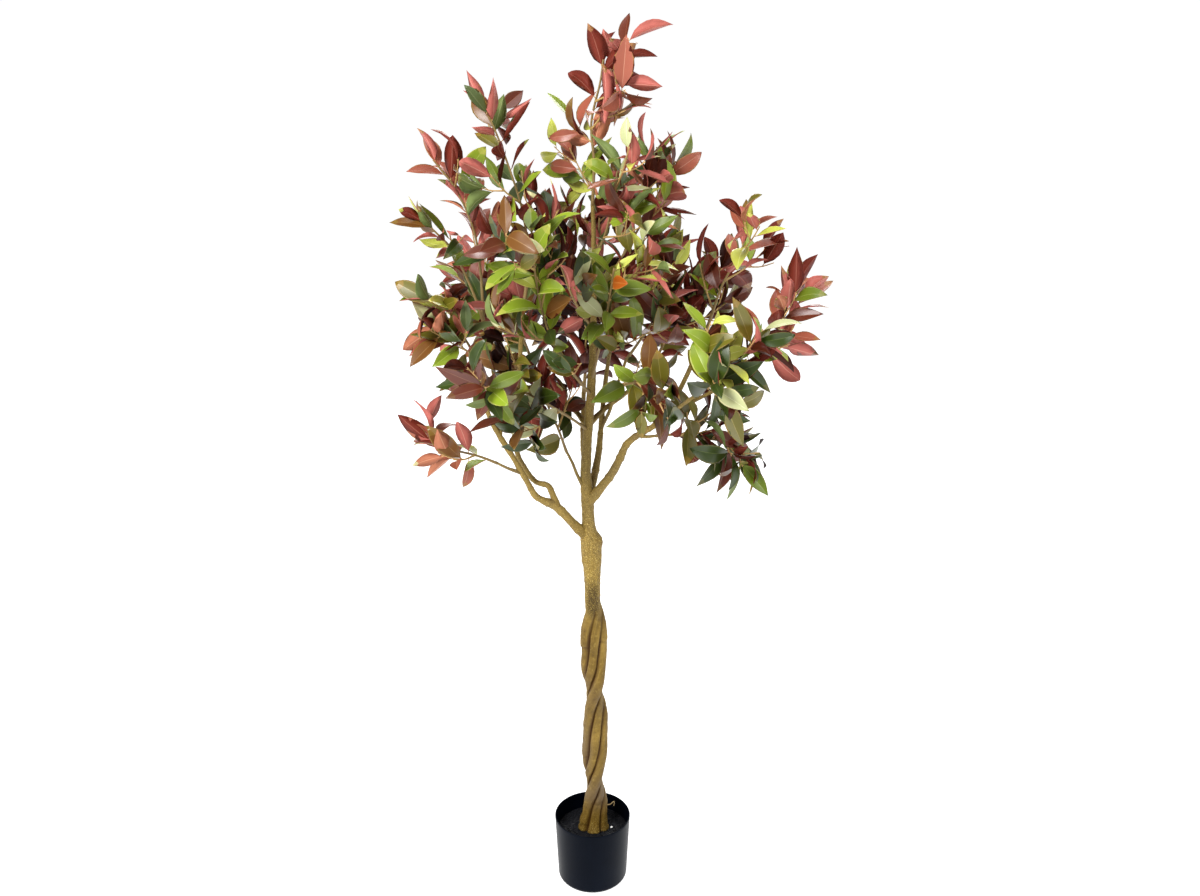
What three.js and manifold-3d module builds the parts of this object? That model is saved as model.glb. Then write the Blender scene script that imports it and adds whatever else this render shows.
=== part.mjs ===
/**
 * Artificial indian laurel fig in a nursery pot, a six-foot indoor tree.
 *
 * Four stems are twisted into one braided trunk. Above the braid a single leader carries on through the
 * crown, boughs leave it and fork, and every bough tip, or the leader itself, carries one mass of leaves.
 *
 * Millimetres, +Z up. The origin is the centre of the pot's flat underside, X runs to the right and Y away
 * from the viewer. A heading is degrees from +X towards +Y, and a rise is degrees above level.
 */
import * as THREE from 'three';
import { mergeVertices } from 'three/addons/utils/BufferGeometryUtils.js';
import Module from 'manifold-3d';

const wasm = await Module();
wasm.setup();

// Clearance that touching pieces keep to each other
const GAP = 0.3;

// Pot: thin plastic wall, slight taper, rounded bottom corner
const POT = { height: 157, rimRadius: 82.5, footRadius: 76, corner: 12, wall: 2.4, floor: 3, sides: 28 };

// Filling: its top is flat under the trunk and falls a little towards the wall
const FILL = { top: 122, flatRadius: 38, edgeDrop: 2 };

// Trunk: sway to the right and radius at each height, from the cut foot to the leader's tip.
// Inside the braid the radius is that of the bundle, before its bulges.
const TRUNK_STATIONS = [
  { height: 122, sway: 3, radius: 21.9 },
  { height: 212, sway: 6.5, radius: 21.9 },
  { height: 266, sway: 3.5, radius: 22 },
  { height: 320, sway: 5.8, radius: 22 },
  { height: 410, sway: 7.5, radius: 22 },
  { height: 462, sway: 4.2, radius: 22 },
  { height: 498, sway: 2.9, radius: 22 },
  { height: 577, sway: 4.2, radius: 22 },
  { height: 626, sway: 5.2, radius: 22 },
  { height: 655, sway: 4.2, radius: 20 },
  { height: 681, sway: 1.2, radius: 16.3 },
  { height: 725, sway: 0.9, radius: 16.8 },
  { height: 758, sway: 0.4, radius: 18.3 },
  { height: 772, sway: -0.7, radius: 21 },
  { height: 824, sway: -1.5, radius: 21.2 },
  { height: 839, sway: -4.6, radius: 15 },
  { height: 852, sway: -6.6, radius: 13.2 },
  { height: 906, sway: -8.4, radius: 13 },
  { height: 966, sway: -12, radius: 10.7 },
  { height: 1031, sway: -8.8, radius: 10 },
  { height: 1126, sway: -0.9, radius: 8.5 },
  { height: 1246, sway: 4.2, radius: 6.5 },
  { height: 1365, sway: 4.5, radius: 5.2 },
  { height: 1457, sway: 4.6, radius: 4.3 },
  { height: 1492, sway: 2.8, radius: 3.8 },
];

// Braid: two narrow strands and two wide ones, by turns. The narrow ones face forward and back at the
// bulges, and the wide ones cross between the bulges, where they turn faster.
const BRAID = {
  narrow: { turn: 82, columns: 4 },
  wide: { turn: 98, columns: 6 },
  top: 660,
  fade: 40,
  pitch: 444,
  bulgeHeight: 577,
  slack: 0.7,
  oval: 4.8,
  groove: 0.26,
  roundness: 0.9,
  ringStep: 23,
};
const FLARE = { radius: 8, height: 20, toes: 0.35 };
const KNOB = { height: 815, tall: 11, heading: -20, out: 2.5 };

// Limbs: where each leaves its parent (a height on the trunk, a share of a bough's length), its radius at
// even steps from root to tip, and its legs as [length, heading, rise]
const BOUGHS = {
  bough_left: {
    on: 'trunk', at: 816, radii: [10.5, 9.5, 9, 7, 6.2, 5.6, 5, 4.6],
    legs: [[51, -163, 49], [58, -164, 50], [29, -168, 31], [23, -164, 37], [32, -172, 63], [63, -174, 63],
      [74, 172, 60], [61, 154, 68]],
  },
  bough_left_inner: {
    on: 'bough_left', at: 0.25, radii: [6.5, 5.8, 5, 4.5, 4],
    legs: [[29, 139, 65], [18, 143, 50], [24, 168, 14], [27, 164, 46], [42, -163, 65], [44, -138, 80],
      [64, -46, 84], [93, -26, 83], [80, -40, 84]],
  },
  bough_left_upper: {
    on: 'bough_left', at: 0.825, radii: [4, 3.6, 3.2], legs: [[55, 96, 54], [98, 117, 70], [79, 127, 72]],
  },
  bough_left_low: {
    on: 'bough_left', at: 0.675, radii: [3.2, 2.8, 2.6], legs: [[32, -155, 27], [25, -166, 31]],
  },
  bough_thin_left: {
    on: 'trunk', at: 917, radii: [3.6, 3, 2.7], legs: [[52, -153, 65], [28, -150, 69], [29, -157, 64]],
  },
  bough_centre: {
    on: 'trunk', at: 906, radii: [7.8, 7.2, 6, 5, 4.2],
    legs: [[46, 58, 59], [51, 47, 74], [35, 57, 80], [37, 59, 81], [59, 59, 79], [78, 64, 73]],
  },
  bough_centre_right: {
    on: 'bough_centre', at: 0.583, radii: [3.6, 3.2, 2.8],
    legs: [[42, -22, 64], [44, -45, 71], [77, -43, 68]],
  },
  bough_right: {
    on: 'trunk', at: 899, radii: [9, 8.5, 7.5, 6.5, 5.6, 5, 4.4],
    legs: [[48, -20, 53], [40, -25, 55], [44, -29, 63], [26, -30, 67], [23, -19, 49], [29, -12, 36],
      [22, -16, 35], [34, 23, 43], [60, 33, 53], [74, 33, 60]],
  },
  bough_right_low: {
    on: 'bough_right', at: 0.535, radii: [3.2, 2.9, 2.7], legs: [[20, -23, 2], [18, -14, 10]],
  },
  bough_right_front: {
    on: 'bough_right', at: 0.7, radii: [4, 3.6, 3.2], legs: [[91, -56, 37], [69, -62, 35]],
  },
  bough_right_outer: {
    on: 'bough_right', at: 0.8, radii: [4.2, 3.6, 3.2], legs: [[68, -10, 27], [74, 0, 29]],
  },
  bough_back: {
    on: 'trunk', at: 960, radii: [7, 6.2, 5.2, 4.4], legs: [[54, 95, 34], [64, 93, 39], [76, 89, 43]],
  },
  bough_back_right: {
    on: 'trunk', at: 1065, radii: [5.6, 5, 4.4, 3.8], legs: [[48, 47, 25], [56, 36, 24], [54, 24, 29]],
  },
  bough_back_left: {
    on: 'trunk', at: 1060, radii: [5.6, 5, 4.4, 3.8], legs: [[52, 125, 25], [56, 138, 23], [56, 142, 29]],
  },
};
const BOUGH_SIDES = 6;
const BOUGH_STEP = 30;
const BOUGH_LEAST_STEPS = 3;

// Masses of leaves: where the stem starts, its legs, its side shoots and their length, the turn of the
// first shoot about the stem, and the seed
const MASSES = {
  leaves_top: {
    on: 'trunk', legs: [[78, 0, 88], [70, 160, 86], [72, -25, 76], [40, 0, 82]],
    shoots: 4, reach: 72, spin: 0, seed: 1, tone: 'red',
  },
  leaves_upper_right: {
    on: 'trunk', at: 1295, legs: [[74, 30, 58], [102, 11, 59], [83, -14, 61], [60, -28, 62]],
    shoots: 3, reach: 89, spin: 200, seed: 2, tone: 'red',
  },
  leaves_upper_left: {
    on: 'bough_left_inner', legs: [[105, 2, 83], [97, 128, 82], [112, 163, 72], [75, 180, 69]],
    shoots: 3, reach: 101, spin: 60, seed: 3, tone: 'red',
  },
  leaves_left_high: {
    on: 'bough_left_upper', legs: [[89, 162, 89], [83, 180, 83], [85, -173, 69], [69, -173, 54]],
    shoots: 3, reach: 78, spin: 220, seed: 4, tone: 'red',
  },
  leaves_left_far: {
    on: 'bough_left_upper', at: 0.75, legs: [[91, 179, 78], [105, -176, 68], [54, -177, 51], [34, 180, 41]],
    shoots: 1, reach: 78, spin: 40, seed: 24, tone: 'red',
  },
  leaves_left_mid: {
    on: 'bough_left', legs: [[85, 180, 80], [55, 180, 60], [28, 180, 50]],
    shoots: 3, reach: 89, spin: 200, seed: 5, tone: 'green',
  },
  leaves_low_left: {
    on: 'bough_left_low', legs: [[44, -166, 26], [56, 180, 14], [28, 170, 10]],
    shoots: 2, reach: 61, spin: 200, seed: 6, tone: 'red',
  },
  leaves_low_centre: {
    on: 'bough_thin_left', legs: [[52, -146, 70], [53, 155, 64], [42, 125, 55]],
    shoots: 2, reach: 125, spin: 53, seed: 7, tone: 'red',
  },
  leaves_front_left: {
    on: 'trunk', at: 1126, legs: [[107, -115, 40], [127, -117, 48], [116, -113, 65], [97, -122, 83]],
    shoots: 4, reach: 108, spin: 180, seed: 8, tone: 'green',
  },
  leaves_front_low_left: {
    on: 'trunk', at: 1054, legs: [[89, -124, 35], [110, -124, 32], [80, -143, 32], [40, 180, 17]],
    shoots: 3, reach: 110, spin: 280, seed: 9, tone: 'green',
  },
  leaves_front_centre: {
    on: 'trunk', at: 1156, legs: [[115, -77, 51], [107, -80, 48], [103, -77, 60]],
    shoots: 3, reach: 119, spin: 180, seed: 10, tone: 'green',
  },
  leaves_front_low_right: {
    on: 'trunk', at: 1106, legs: [[94, -57, 34], [117, -69, 22], [70, -49, 29]],
    shoots: 2, reach: 98, spin: 67, seed: 11, tone: 'green',
  },
  leaves_centre_left: {
    on: 'trunk', at: 1256, legs: [[70, 141, 47], [81, 145, 65], [87, 180, 78]],
    shoots: 3, reach: 150, spin: 260, seed: 12, tone: 'green',
  },
  leaves_centre_top: {
    on: 'trunk', at: 1390, legs: [[70, -62, 50], [65, -41, 74], [55, 29, 80]],
    shoots: 3, reach: 103, spin: 255, seed: 13, tone: 'red',
  },
  leaves_right_high: {
    on: 'bough_right', legs: [[66, 0, 71], [69, -27, 72], [70, -12, 64], [40, 19, 68]],
    shoots: 3, reach: 98, spin: 80, seed: 14, tone: 'red',
  },
  leaves_right_far: {
    on: 'bough_right_outer', legs: [[80, 0, 50], [70, 10, 52], [60, 5, 52]],
    shoots: 3, reach: 58, spin: 260, seed: 15, tone: 'red',
  },
  leaves_right_front: {
    on: 'bough_right_front', legs: [[74, -69, 43], [56, -54, 44]],
    shoots: 3, reach: 85, spin: 267, seed: 16, tone: 'green',
  },
  leaves_low_right: {
    on: 'bough_right_low', legs: [[38, -8, 6], [44, -12, -3], [44, 0, -8], [15, 0, -6]],
    shoots: 3, reach: 64, spin: 60, seed: 17, tone: 'green',
  },
  leaves_centre_right: {
    on: 'bough_centre', legs: [[80, 12, 52], [93, -40, 60], [65, -66, 63]],
    shoots: 2, reach: 120, spin: 87, seed: 18, tone: 'green',
  },
  leaves_mid_right: {
    on: 'bough_centre_right', legs: [[67, -31, 55], [52, -18, 58], [30, 0, 52]],
    shoots: 2, reach: 80, spin: 303, seed: 19, tone: 'green',
  },
  leaves_back: {
    on: 'bough_back', legs: [[70, 85, 55], [70, 95, 50], [60, 100, 60]],
    shoots: 4, reach: 138, spin: 307, seed: 20, tone: 'red',
  },
  leaves_back_right: {
    on: 'bough_back_right', legs: [[80, 38, 55], [80, 45, 50], [60, 40, 60]],
    shoots: 4, reach: 138, spin: 207, seed: 21, tone: 'green',
  },
  leaves_back_left: {
    on: 'bough_back_left', legs: [[80, 130, 58], [80, 135, 52], [60, 140, 60]],
    shoots: 4, reach: 120, spin: 240, seed: 22, tone: 'red',
  },
  leaves_back_high: {
    on: 'trunk', at: 1335, legs: [[70, 80, 50], [80, 85, 58], [70, 70, 66]],
    shoots: 4, reach: 120, spin: 20, seed: 23, tone: 'green',
  },
};

// Growth rule of a mass. Angles are in degrees.
const GROWTH = {
  goldenTurn: 137.5,
  sprayTurn: 77,
  stemRoot: 4,
  trunkStemRoot: 3,
  stemMiddle: 2.2,
  stemTip: 1.7,
  stemSides: 3,
  twigRadius: 1.9,
  twigTip: 1.3,
  twigSides: 3,
  firstShoot: 0.22,
  lastShoot: 0.9,
  shootOffset: 0.4,
  stemBare: 0.42,
  divergence: 48,
  lift: 0.3,
  shootLegs: 2,
  lengthSpread: 0.3,
  internode: 20,
  firstLeaf: 0.18,
  lastLeaf: 0.99,
  tries: 6,
  shootRetryTurn: 31,
  leafRetryTurn: 23,
};
const LEAF = {
  length: 89,
  spread: 0.16,
  tipShrink: 0.25,
  width: 0.48,
  widest: 0.46,
  ridgeAt: 0.5,
  ridgeLift: 1.05,
  thick: 1.4,
  fold: 3.5,
  openAngle: 66,
  tipAngle: 26,
};

// Places in the row of repeatable numbers: leaves of one spray, and the lengths of the shoots
const DRAWS = { perSpray: 40, shootLengths: 900 };

// Each mass keeps to the points that are nearer to these shares of its own stem than to any other's
const SPACE = { shares: [0.4, 0.6, 0.8, 1], margin: 1 };

const FINISHES = {
  pot: { color: 0x15171a, roughness: 0.38, metalness: 0 },
  fill: { color: 0x1c1b1a, roughness: 0.95, metalness: 0 },
  bark: { color: 0x7b6330, roughness: 0.75, metalness: 0 },
  green: { color: 0x4f6f2c, roughness: 0.5, metalness: 0 },
  red: { color: 0x7a3a3f, roughness: 0.5, metalness: 0 },
};

// A direction with more rise than this counts as upright when a side of it is chosen
const UPRIGHT = 0.97;

const UP = new THREE.Vector3(0, 0, 1);
const RIGHT = new THREE.Vector3(1, 0, 0);
const radians = THREE.MathUtils.degToRad;

/** A repeatable number from 0 to 1. */
function chance(seed, index) {
  const value = Math.sin(seed * 127.1 + index * 311.7) * 43758.5453;
  return value - Math.floor(value);
}

/** Unit vector for a heading and a rise. */
function direction(heading, rise) {
  const level = Math.cos(radians(rise));
  return new THREE.Vector3(
    level * Math.cos(radians(heading)),
    level * Math.sin(radians(heading)),
    Math.sin(radians(rise)),
  );
}

/** Smooth curve from a start point through the ends of its legs. */
function curveAlong(start, legs) {
  const points = [start.clone()];
  for (const [length, heading, rise] of legs) {
    points.push(points.at(-1).clone().addScaledVector(direction(heading, rise), length));
  }
  return new THREE.CatmullRomCurve3(points, false, 'catmullrom', 0.5);
}

/** Value of a list of numbers at a share of its length, between even steps. */
function evenly(values, share) {
  const place = THREE.MathUtils.clamp(share, 0, 1) * (values.length - 1);
  const low = Math.min(Math.floor(place), values.length - 2);
  return THREE.MathUtils.lerp(values[low], values[low + 1], place - low);
}

/** Closed geometry through rings of equally many points, with a flat fan on both ends. */
function loft(rings) {
  const sides = rings[0].length;
  const middle = (ring) => ring.reduce((sum, p) => sum.add(p), new THREE.Vector3()).divideScalar(sides);
  const points = [...rings.flat(), middle(rings[0]), middle(rings.at(-1))];
  const foot = points.length - 2;
  const tip = points.length - 1;
  const faces = [];
  for (let side = 0; side < sides; side += 1) {
    const next = (side + 1) % sides;
    const last = (rings.length - 1) * sides;
    faces.push(foot, next, side);
    faces.push(tip, last + side, last + next);
    for (let ring = 0; ring < rings.length - 1; ring += 1) {
      const low = ring * sides;
      const high = low + sides;
      faces.push(low + side, low + next, high + next);
      faces.push(low + side, high + next, high + side);
    }
  }
  const geometry = new THREE.BufferGeometry().setFromPoints(points);
  geometry.setIndex(faces);
  return geometry;
}

/** Tapering round limb along a curve, grown by extra all round and at both ends. */
function limbGeometry(curve, radii, sides, steps, extra = 0) {
  const frames = [];
  let across = null;
  for (let step = 0; step <= steps; step += 1) {
    const share = step / steps;
    const along = curve.getTangent(share);
    const guide = across ?? (Math.abs(along.z) > UPRIGHT ? RIGHT : UP);
    across = guide.clone().addScaledVector(along, -guide.dot(along)).normalize();
    const point = curve.getPoint(share);
    if (step === 0) point.addScaledVector(along, -extra);
    if (step === steps) point.addScaledVector(along, extra);
    frames.push({ point, across, over: along.clone().cross(across), radius: evenly(radii, share) + extra });
  }
  return loft(frames.map(({ point, across, over, radius }) => {
    const ring = [];
    for (let side = 0; side < sides; side += 1) {
      const turn = 2 * Math.PI * side / sides;
      ring.push(point.clone()
        .addScaledVector(across, radius * Math.cos(turn))
        .addScaledVector(over, radius * Math.sin(turn)));
    }
    return ring;
  }));
}

/** Solid for joining and cutting, from a closed geometry. */
function solidOf(geometry) {
  const bare = geometry.clone();
  bare.deleteAttribute('normal');
  bare.deleteAttribute('uv');
  const merged = mergeVertices(bare, 1e-4);
  const index = merged.index.array;
  const faces = [];
  for (let i = 0; i < index.length; i += 3) {
    const [a, b, c] = [index[i], index[i + 1], index[i + 2]];
    if (a !== b && b !== c && c !== a) faces.push(a, b, c);
  }
  return new wasm.Manifold(new wasm.Mesh({
    numProp: 3,
    vertProperties: new Float32Array(merged.attributes.position.array),
    triVerts: new Uint32Array(faces),
  }));
}

/** Geometry of a solid's largest piece; loose scraps are dropped. */
function geometryOf(solid) {
  const pieces = solid.decompose().sort((a, b) => b.volume() - a.volume());
  const mesh = pieces[0].getMesh();
  const geometry = new THREE.BufferGeometry();
  geometry.setAttribute('position', new THREE.BufferAttribute(new Float32Array(mesh.vertProperties), 3));
  geometry.setIndex([...mesh.triVerts]);
  return geometry;
}

/** Sway or radius of the trunk at a height. */
function trunkAt(height, key) {
  const above = TRUNK_STATIONS.findIndex((station) => station.height >= height);
  const high = TRUNK_STATIONS[Math.max(above, 1)];
  const low = TRUNK_STATIONS[Math.max(above, 1) - 1];
  return THREE.MathUtils.mapLinear(height, low.height, high.height, low[key], high[key]);
}

/** Turn of the braid at a height: slow at the bulges and fast between them. */
function twistAt(height) {
  const turns = 2 * Math.PI * (Math.min(height, BRAID.top) - BRAID.bulgeHeight) / BRAID.pitch;
  return turns - BRAID.slack * Math.sin(2 * turns) / 2;
}

/** Columns of points round the trunk: the turn of each, and how far it lies across its strand (-1 to 1). */
function trunkColumns() {
  const columns = [];
  let edge = -BRAID.narrow.turn / 2;
  for (const strand of [BRAID.narrow, BRAID.wide, BRAID.narrow, BRAID.wide]) {
    for (let column = 0; column < strand.columns; column += 1) {
      const share = column / strand.columns;
      columns.push({ turn: radians(edge + share * strand.turn), across: 2 * share - 1 });
    }
    edge += strand.turn;
  }
  return columns;
}

/**
 * Trunk radius at a height, in one column. The braid's section is an oval, widest through the wide strands,
 * whose strands are rounded; it flares at the foot and fades to a plain round above its top.
 */
function trunkRadius(height, { turn, across }, heading) {
  const inBraid = 1 - THREE.MathUtils.smoothstep(height, BRAID.top - BRAID.fade, BRAID.top + BRAID.fade);
  const foot = Math.exp((TRUNK_STATIONS[0].height - height) / FLARE.height);
  const oval = inBraid * BRAID.oval * Math.cos(2 * turn);
  const bundle = trunkAt(height, 'radius') - oval + foot * FLARE.radius;
  const hollow = 1 - Math.sqrt(1 - (BRAID.roundness * across) ** 2);
  const groove = inBraid * BRAID.groove * (1 + foot * FLARE.toes) * hollow;
  const rise = (height - KNOB.height) / KNOB.tall;
  const facing = Math.max(0, Math.cos(heading - radians(KNOB.heading)));
  const knob = KNOB.out * Math.exp(-rise * rise) * facing ** 2;
  return bundle * (1 - groove) + knob;
}

/** Trunk, grown by extra all round; its columns of points turn with the strands. */
function trunkGeometry(extra = 0) {
  const first = TRUNK_STATIONS[0].height;
  const heights = [];
  for (let height = first; height < BRAID.top + BRAID.fade; height += BRAID.ringStep) heights.push(height);
  const upper = TRUNK_STATIONS.filter((station) => station.height > BRAID.top + BRAID.fade);
  heights.push(...upper.map((station) => station.height));
  const rings = heights.map((height, index) => {
    const lift = index === heights.length - 1 ? extra : 0;
    return trunkColumns().map((column) => {
      const heading = column.turn + twistAt(height) - Math.PI / 2;
      const radius = trunkRadius(height, column, heading) + extra;
      return new THREE.Vector3(
        trunkAt(height, 'sway') + radius * Math.cos(heading),
        radius * Math.sin(heading),
        height + lift,
      );
    });
  });
  return loft(rings);
}

/** Quarter round of a pot corner, as profile points from the level face to the wall. */
function cornerPoints(radius, centreX, centreZ, steps = 2) {
  const points = [];
  for (let step = 0; step <= steps; step += 1) {
    const turn = Math.PI / 2 * step / steps;
    points.push(new THREE.Vector2(centreX + radius * Math.sin(turn), centreZ - radius * Math.cos(turn)));
  }
  return points;
}

/** A turned shape about Z from its half profile. */
function turned(profile) {
  return new THREE.LatheGeometry(profile, POT.sides).rotateX(Math.PI / 2);
}

function potGeometry() {
  const flat = POT.footRadius - POT.corner;
  const innerCorner = POT.corner - POT.wall;
  const outer = cornerPoints(POT.corner, flat, POT.corner);
  const inner = cornerPoints(innerCorner, flat, POT.floor + innerCorner).reverse();
  return turned([
    new THREE.Vector2(0, 0),
    ...outer,
    new THREE.Vector2(POT.rimRadius, POT.height),
    new THREE.Vector2(POT.rimRadius - POT.wall, POT.height),
    ...inner,
    new THREE.Vector2(0, POT.floor),
  ]);
}

function fillGeometry() {
  const flat = POT.footRadius - POT.corner;
  const corner = POT.corner - POT.wall - GAP;
  const edge = FILL.top - GAP - FILL.edgeDrop;
  const slope = (POT.rimRadius - POT.footRadius) / (POT.height - POT.corner);
  const wall = POT.footRadius - POT.wall - GAP + slope * (edge - POT.corner);
  return turned([
    new THREE.Vector2(0, POT.floor + GAP),
    ...cornerPoints(corner, flat, POT.floor + GAP + corner),
    new THREE.Vector2(wall - GAP, edge),
    new THREE.Vector2(FILL.flatRadius, FILL.top - GAP),
    new THREE.Vector2(0, FILL.top - GAP),
  ]);
}

/** Vector at a turn about an axis, square to it. */
function sideways(along, turn) {
  const guide = Math.abs(along.z) > UPRIGHT ? RIGHT : UP;
  const across = along.clone().cross(guide).normalize();
  const over = across.clone().cross(along);
  return across.multiplyScalar(Math.cos(radians(turn))).addScaledVector(over, Math.sin(radians(turn)));
}

/** Corners of a leaf of eight faces: root edge, folded-up sides, ridge and tip. */
function leafCorners(root, along, face, length) {
  const across = face.clone().cross(along);
  const at = (share, side, lift) => root.clone()
    .addScaledVector(along, share * length)
    .addScaledVector(across, side * length * LEAF.width / 2)
    .addScaledVector(face, lift);
  return {
    top: at(0, 0, LEAF.thick / 2),
    under: at(0, 0, -LEAF.thick / 2),
    left: at(LEAF.widest, 1, LEAF.fold),
    right: at(LEAF.widest, -1, LEAF.fold),
    ridge: at(LEAF.ridgeAt, 0, LEAF.ridgeLift),
    tip: at(1, 0, 0),
  };
}

function leafGeometry({ top, under, left, right, ridge, tip }) {
  const geometry = new THREE.BufferGeometry().setFromPoints([top, under, left, right, ridge, tip]);
  geometry.setIndex([0, 4, 2, 0, 3, 4, 4, 5, 2, 4, 3, 5, 1, 2, 5, 1, 5, 3, 0, 2, 1, 0, 1, 3]);
  return geometry;
}

/** Curve of a side shoot: it leaves the stem at an angle and lifts towards the light. */
function shootCurve(root, heading, length) {
  const points = [root.clone()];
  const along = heading.clone();
  for (let leg = 0; leg < GROWTH.shootLegs; leg += 1) {
    points.push(points.at(-1).clone().addScaledVector(along, length / GROWTH.shootLegs));
    along.addScaledVector(UP, GROWTH.lift).normalize();
  }
  return new THREE.CatmullRomCurve3(points, false, 'catmullrom', 0.5);
}

// Curves of every limb and stem, each from a point on its parent's axis
const curves = {};
function pointOn(parent, at) {
  if (parent === 'trunk') {
    const height = at ?? TRUNK_STATIONS.at(-1).height - 1;
    return new THREE.Vector3(trunkAt(height, 'sway'), 0, height);
  }
  return curves[parent].getPoint(at ?? 1);
}
for (const [name, limb] of Object.entries({ ...BOUGHS, ...MASSES })) {
  curves[name] = curveAlong(pointOn(limb.on, limb.at), limb.legs);
}

// Limbs: each bough is cut back to clear the trunk and the boughs made before it
const solids = {};
const swollen = {};
solids.trunk = solidOf(trunkGeometry());
swollen.trunk = solidOf(trunkGeometry(GAP));
let limbs = swollen.trunk;
for (const [name, { radii }] of Object.entries(BOUGHS)) {
  const steps = Math.max(BOUGH_LEAST_STEPS, Math.round(curves[name].getLength() / BOUGH_STEP));
  solids[name] = solidOf(limbGeometry(curves[name], radii, BOUGH_SIDES, steps)).subtract(limbs);
  swollen[name] = solidOf(limbGeometry(curves[name], radii, BOUGH_SIDES, steps, GAP));
  limbs = limbs.add(swollen[name]);
}

// Stems of the masses, cut back to clear the limb that each grows from
const stems = {};
const stemRoot = ({ on }) => (
  on === 'trunk' ? GROWTH.trunkStemRoot : Math.min(GROWTH.stemRoot, BOUGHS[on].radii.at(-1))
);
for (const [name, mass] of Object.entries(MASSES)) {
  const radii = [stemRoot(mass), GROWTH.stemMiddle, GROWTH.stemTip];
  const steps = mass.legs.length;
  stems[name] = {
    solid: solidOf(limbGeometry(curves[name], radii, GROWTH.stemSides, steps)).subtract(limbs),
    swollen: solidOf(limbGeometry(curves[name], radii, GROWTH.stemSides, steps, GAP)),
  };
}

const sites = Object.keys(MASSES).flatMap((name) => (
  SPACE.shares.map((share) => ({ name, point: curves[name].getPoint(share) }))
));

/** True where a point lies in a mass's own space. */
function inSpace(name, point) {
  const nearest = (own) => Math.min(
    ...sites.filter((site) => (site.name === name) === own).map((site) => site.point.distanceTo(point)),
  );
  return nearest(true) + SPACE.margin < nearest(false);
}

// Limbs, and the masses grown so far
let made = limbs;

/** A mass: stem, side shoots and the leaves on them, all in one solid. */
function growMass(name) {
  const mass = MASSES[name];
  const otherStems = Object.keys(stems).filter((other) => other !== name);
  const keepClear = otherStems.reduce((sum, other) => sum.add(stems[other].swollen), made);
  const clear = (solid) => solid.intersect(keepClear).isEmpty();
  const twigs = [stems[name].solid];
  let leaves = null;

  function growLeaves(curve, from, shoot) {
    const length = curve.getLength() * (1 - from);
    const number = Math.round(length / GROWTH.internode);
    for (let leaf = 0; leaf < number; leaf += 1) {
      const share = (leaf + 0.5 + leaf / number) / (number + 1);
      const place = Math.min(from + (1 - from) * share, GROWTH.lastLeaf);
      const root = curve.getPoint(place);
      const along = curve.getTangent(place);
      const lean = radians(THREE.MathUtils.lerp(LEAF.openAngle, LEAF.tipAngle, share ** 2));
      const drawn = chance(mass.seed, DRAWS.perSpray * shoot + leaf) - 0.5;
      const size = LEAF.length * (1 + LEAF.spread * drawn) * (1 - LEAF.tipShrink * share ** 4);
      for (let attempt = 0; attempt < GROWTH.tries; attempt += 1) {
        const turn = mass.spin + GROWTH.sprayTurn * shoot + GROWTH.goldenTurn * leaf
          + GROWTH.leafRetryTurn * attempt;
        const out = sideways(along, turn);
        const heading = along.clone().multiplyScalar(Math.cos(lean)).addScaledVector(out, Math.sin(lean));
        const face = along.clone().multiplyScalar(Math.sin(lean)).addScaledVector(out, -Math.cos(lean));
        const corners = leafCorners(root, heading, face, size);
        if (!Object.values(corners).every((corner) => inSpace(name, corner))) continue;
        const solid = solidOf(leafGeometry(corners));
        const others = [...twigs.filter((twig, index) => index !== shoot), leaves ?? []].flat();
        if (!clear(solid) || !others.every((other) => solid.intersect(other).isEmpty())) continue;
        leaves = leaves ? leaves.add(solid) : solid;
        break;
      }
    }
  }

  for (let shoot = 0; shoot < mass.shoots; shoot += 1) {
    const place = THREE.MathUtils.lerp(
      GROWTH.firstShoot, GROWTH.lastShoot, (shoot + GROWTH.shootOffset) / mass.shoots,
    );
    const root = curves[name].getPoint(place);
    const along = curves[name].getTangent(place);
    const spread = 1 + GROWTH.lengthSpread * (chance(mass.seed, DRAWS.shootLengths + shoot) - 0.5);
    for (let attempt = 0; attempt < GROWTH.tries; attempt += 1) {
      const turn = mass.spin + GROWTH.goldenTurn * shoot + GROWTH.shootRetryTurn * attempt;
      const out = sideways(along, turn);
      const lean = radians(GROWTH.divergence);
      const heading = along.clone().multiplyScalar(Math.cos(lean)).addScaledVector(out, Math.sin(lean));
      const curve = shootCurve(root, heading, mass.reach * spread);
      const twig = solidOf(limbGeometry(
        curve, [GROWTH.twigRadius, GROWTH.twigTip], GROWTH.twigSides, GROWTH.shootLegs,
      ));
      if (!inSpace(name, curve.getPoint(0.5)) || !inSpace(name, curve.getPoint(1))) continue;
      if (!clear(twig)) continue;
      twigs.push(twig);
      growLeaves(curve, GROWTH.firstLeaf, twigs.length - 1);
      break;
    }
  }
  growLeaves(curves[name], GROWTH.stemBare, 0);
  const solid = twigs.reduce((sum, twig) => sum.add(twig), leaves);
  made = made.add(solid);
  return solid;
}

function piece(name, geometry, finish) {
  const mesh = new THREE.Mesh(geometry, new THREE.MeshStandardMaterial(FINISHES[finish]));
  mesh.name = name;
  return mesh;
}

const tree = new THREE.Group();
tree.add(piece('pot', potGeometry(), 'pot'));
tree.add(piece('pot_fill', fillGeometry(), 'fill'));
tree.add(piece('trunk', geometryOf(solids.trunk), 'bark'));
for (const name of Object.keys(BOUGHS)) tree.add(piece(name, geometryOf(solids[name]), 'bark'));
for (const [name, { tone }] of Object.entries(MASSES)) {
  tree.add(piece(name, geometryOf(growMass(name)), tone));
}

export default tree;
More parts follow.
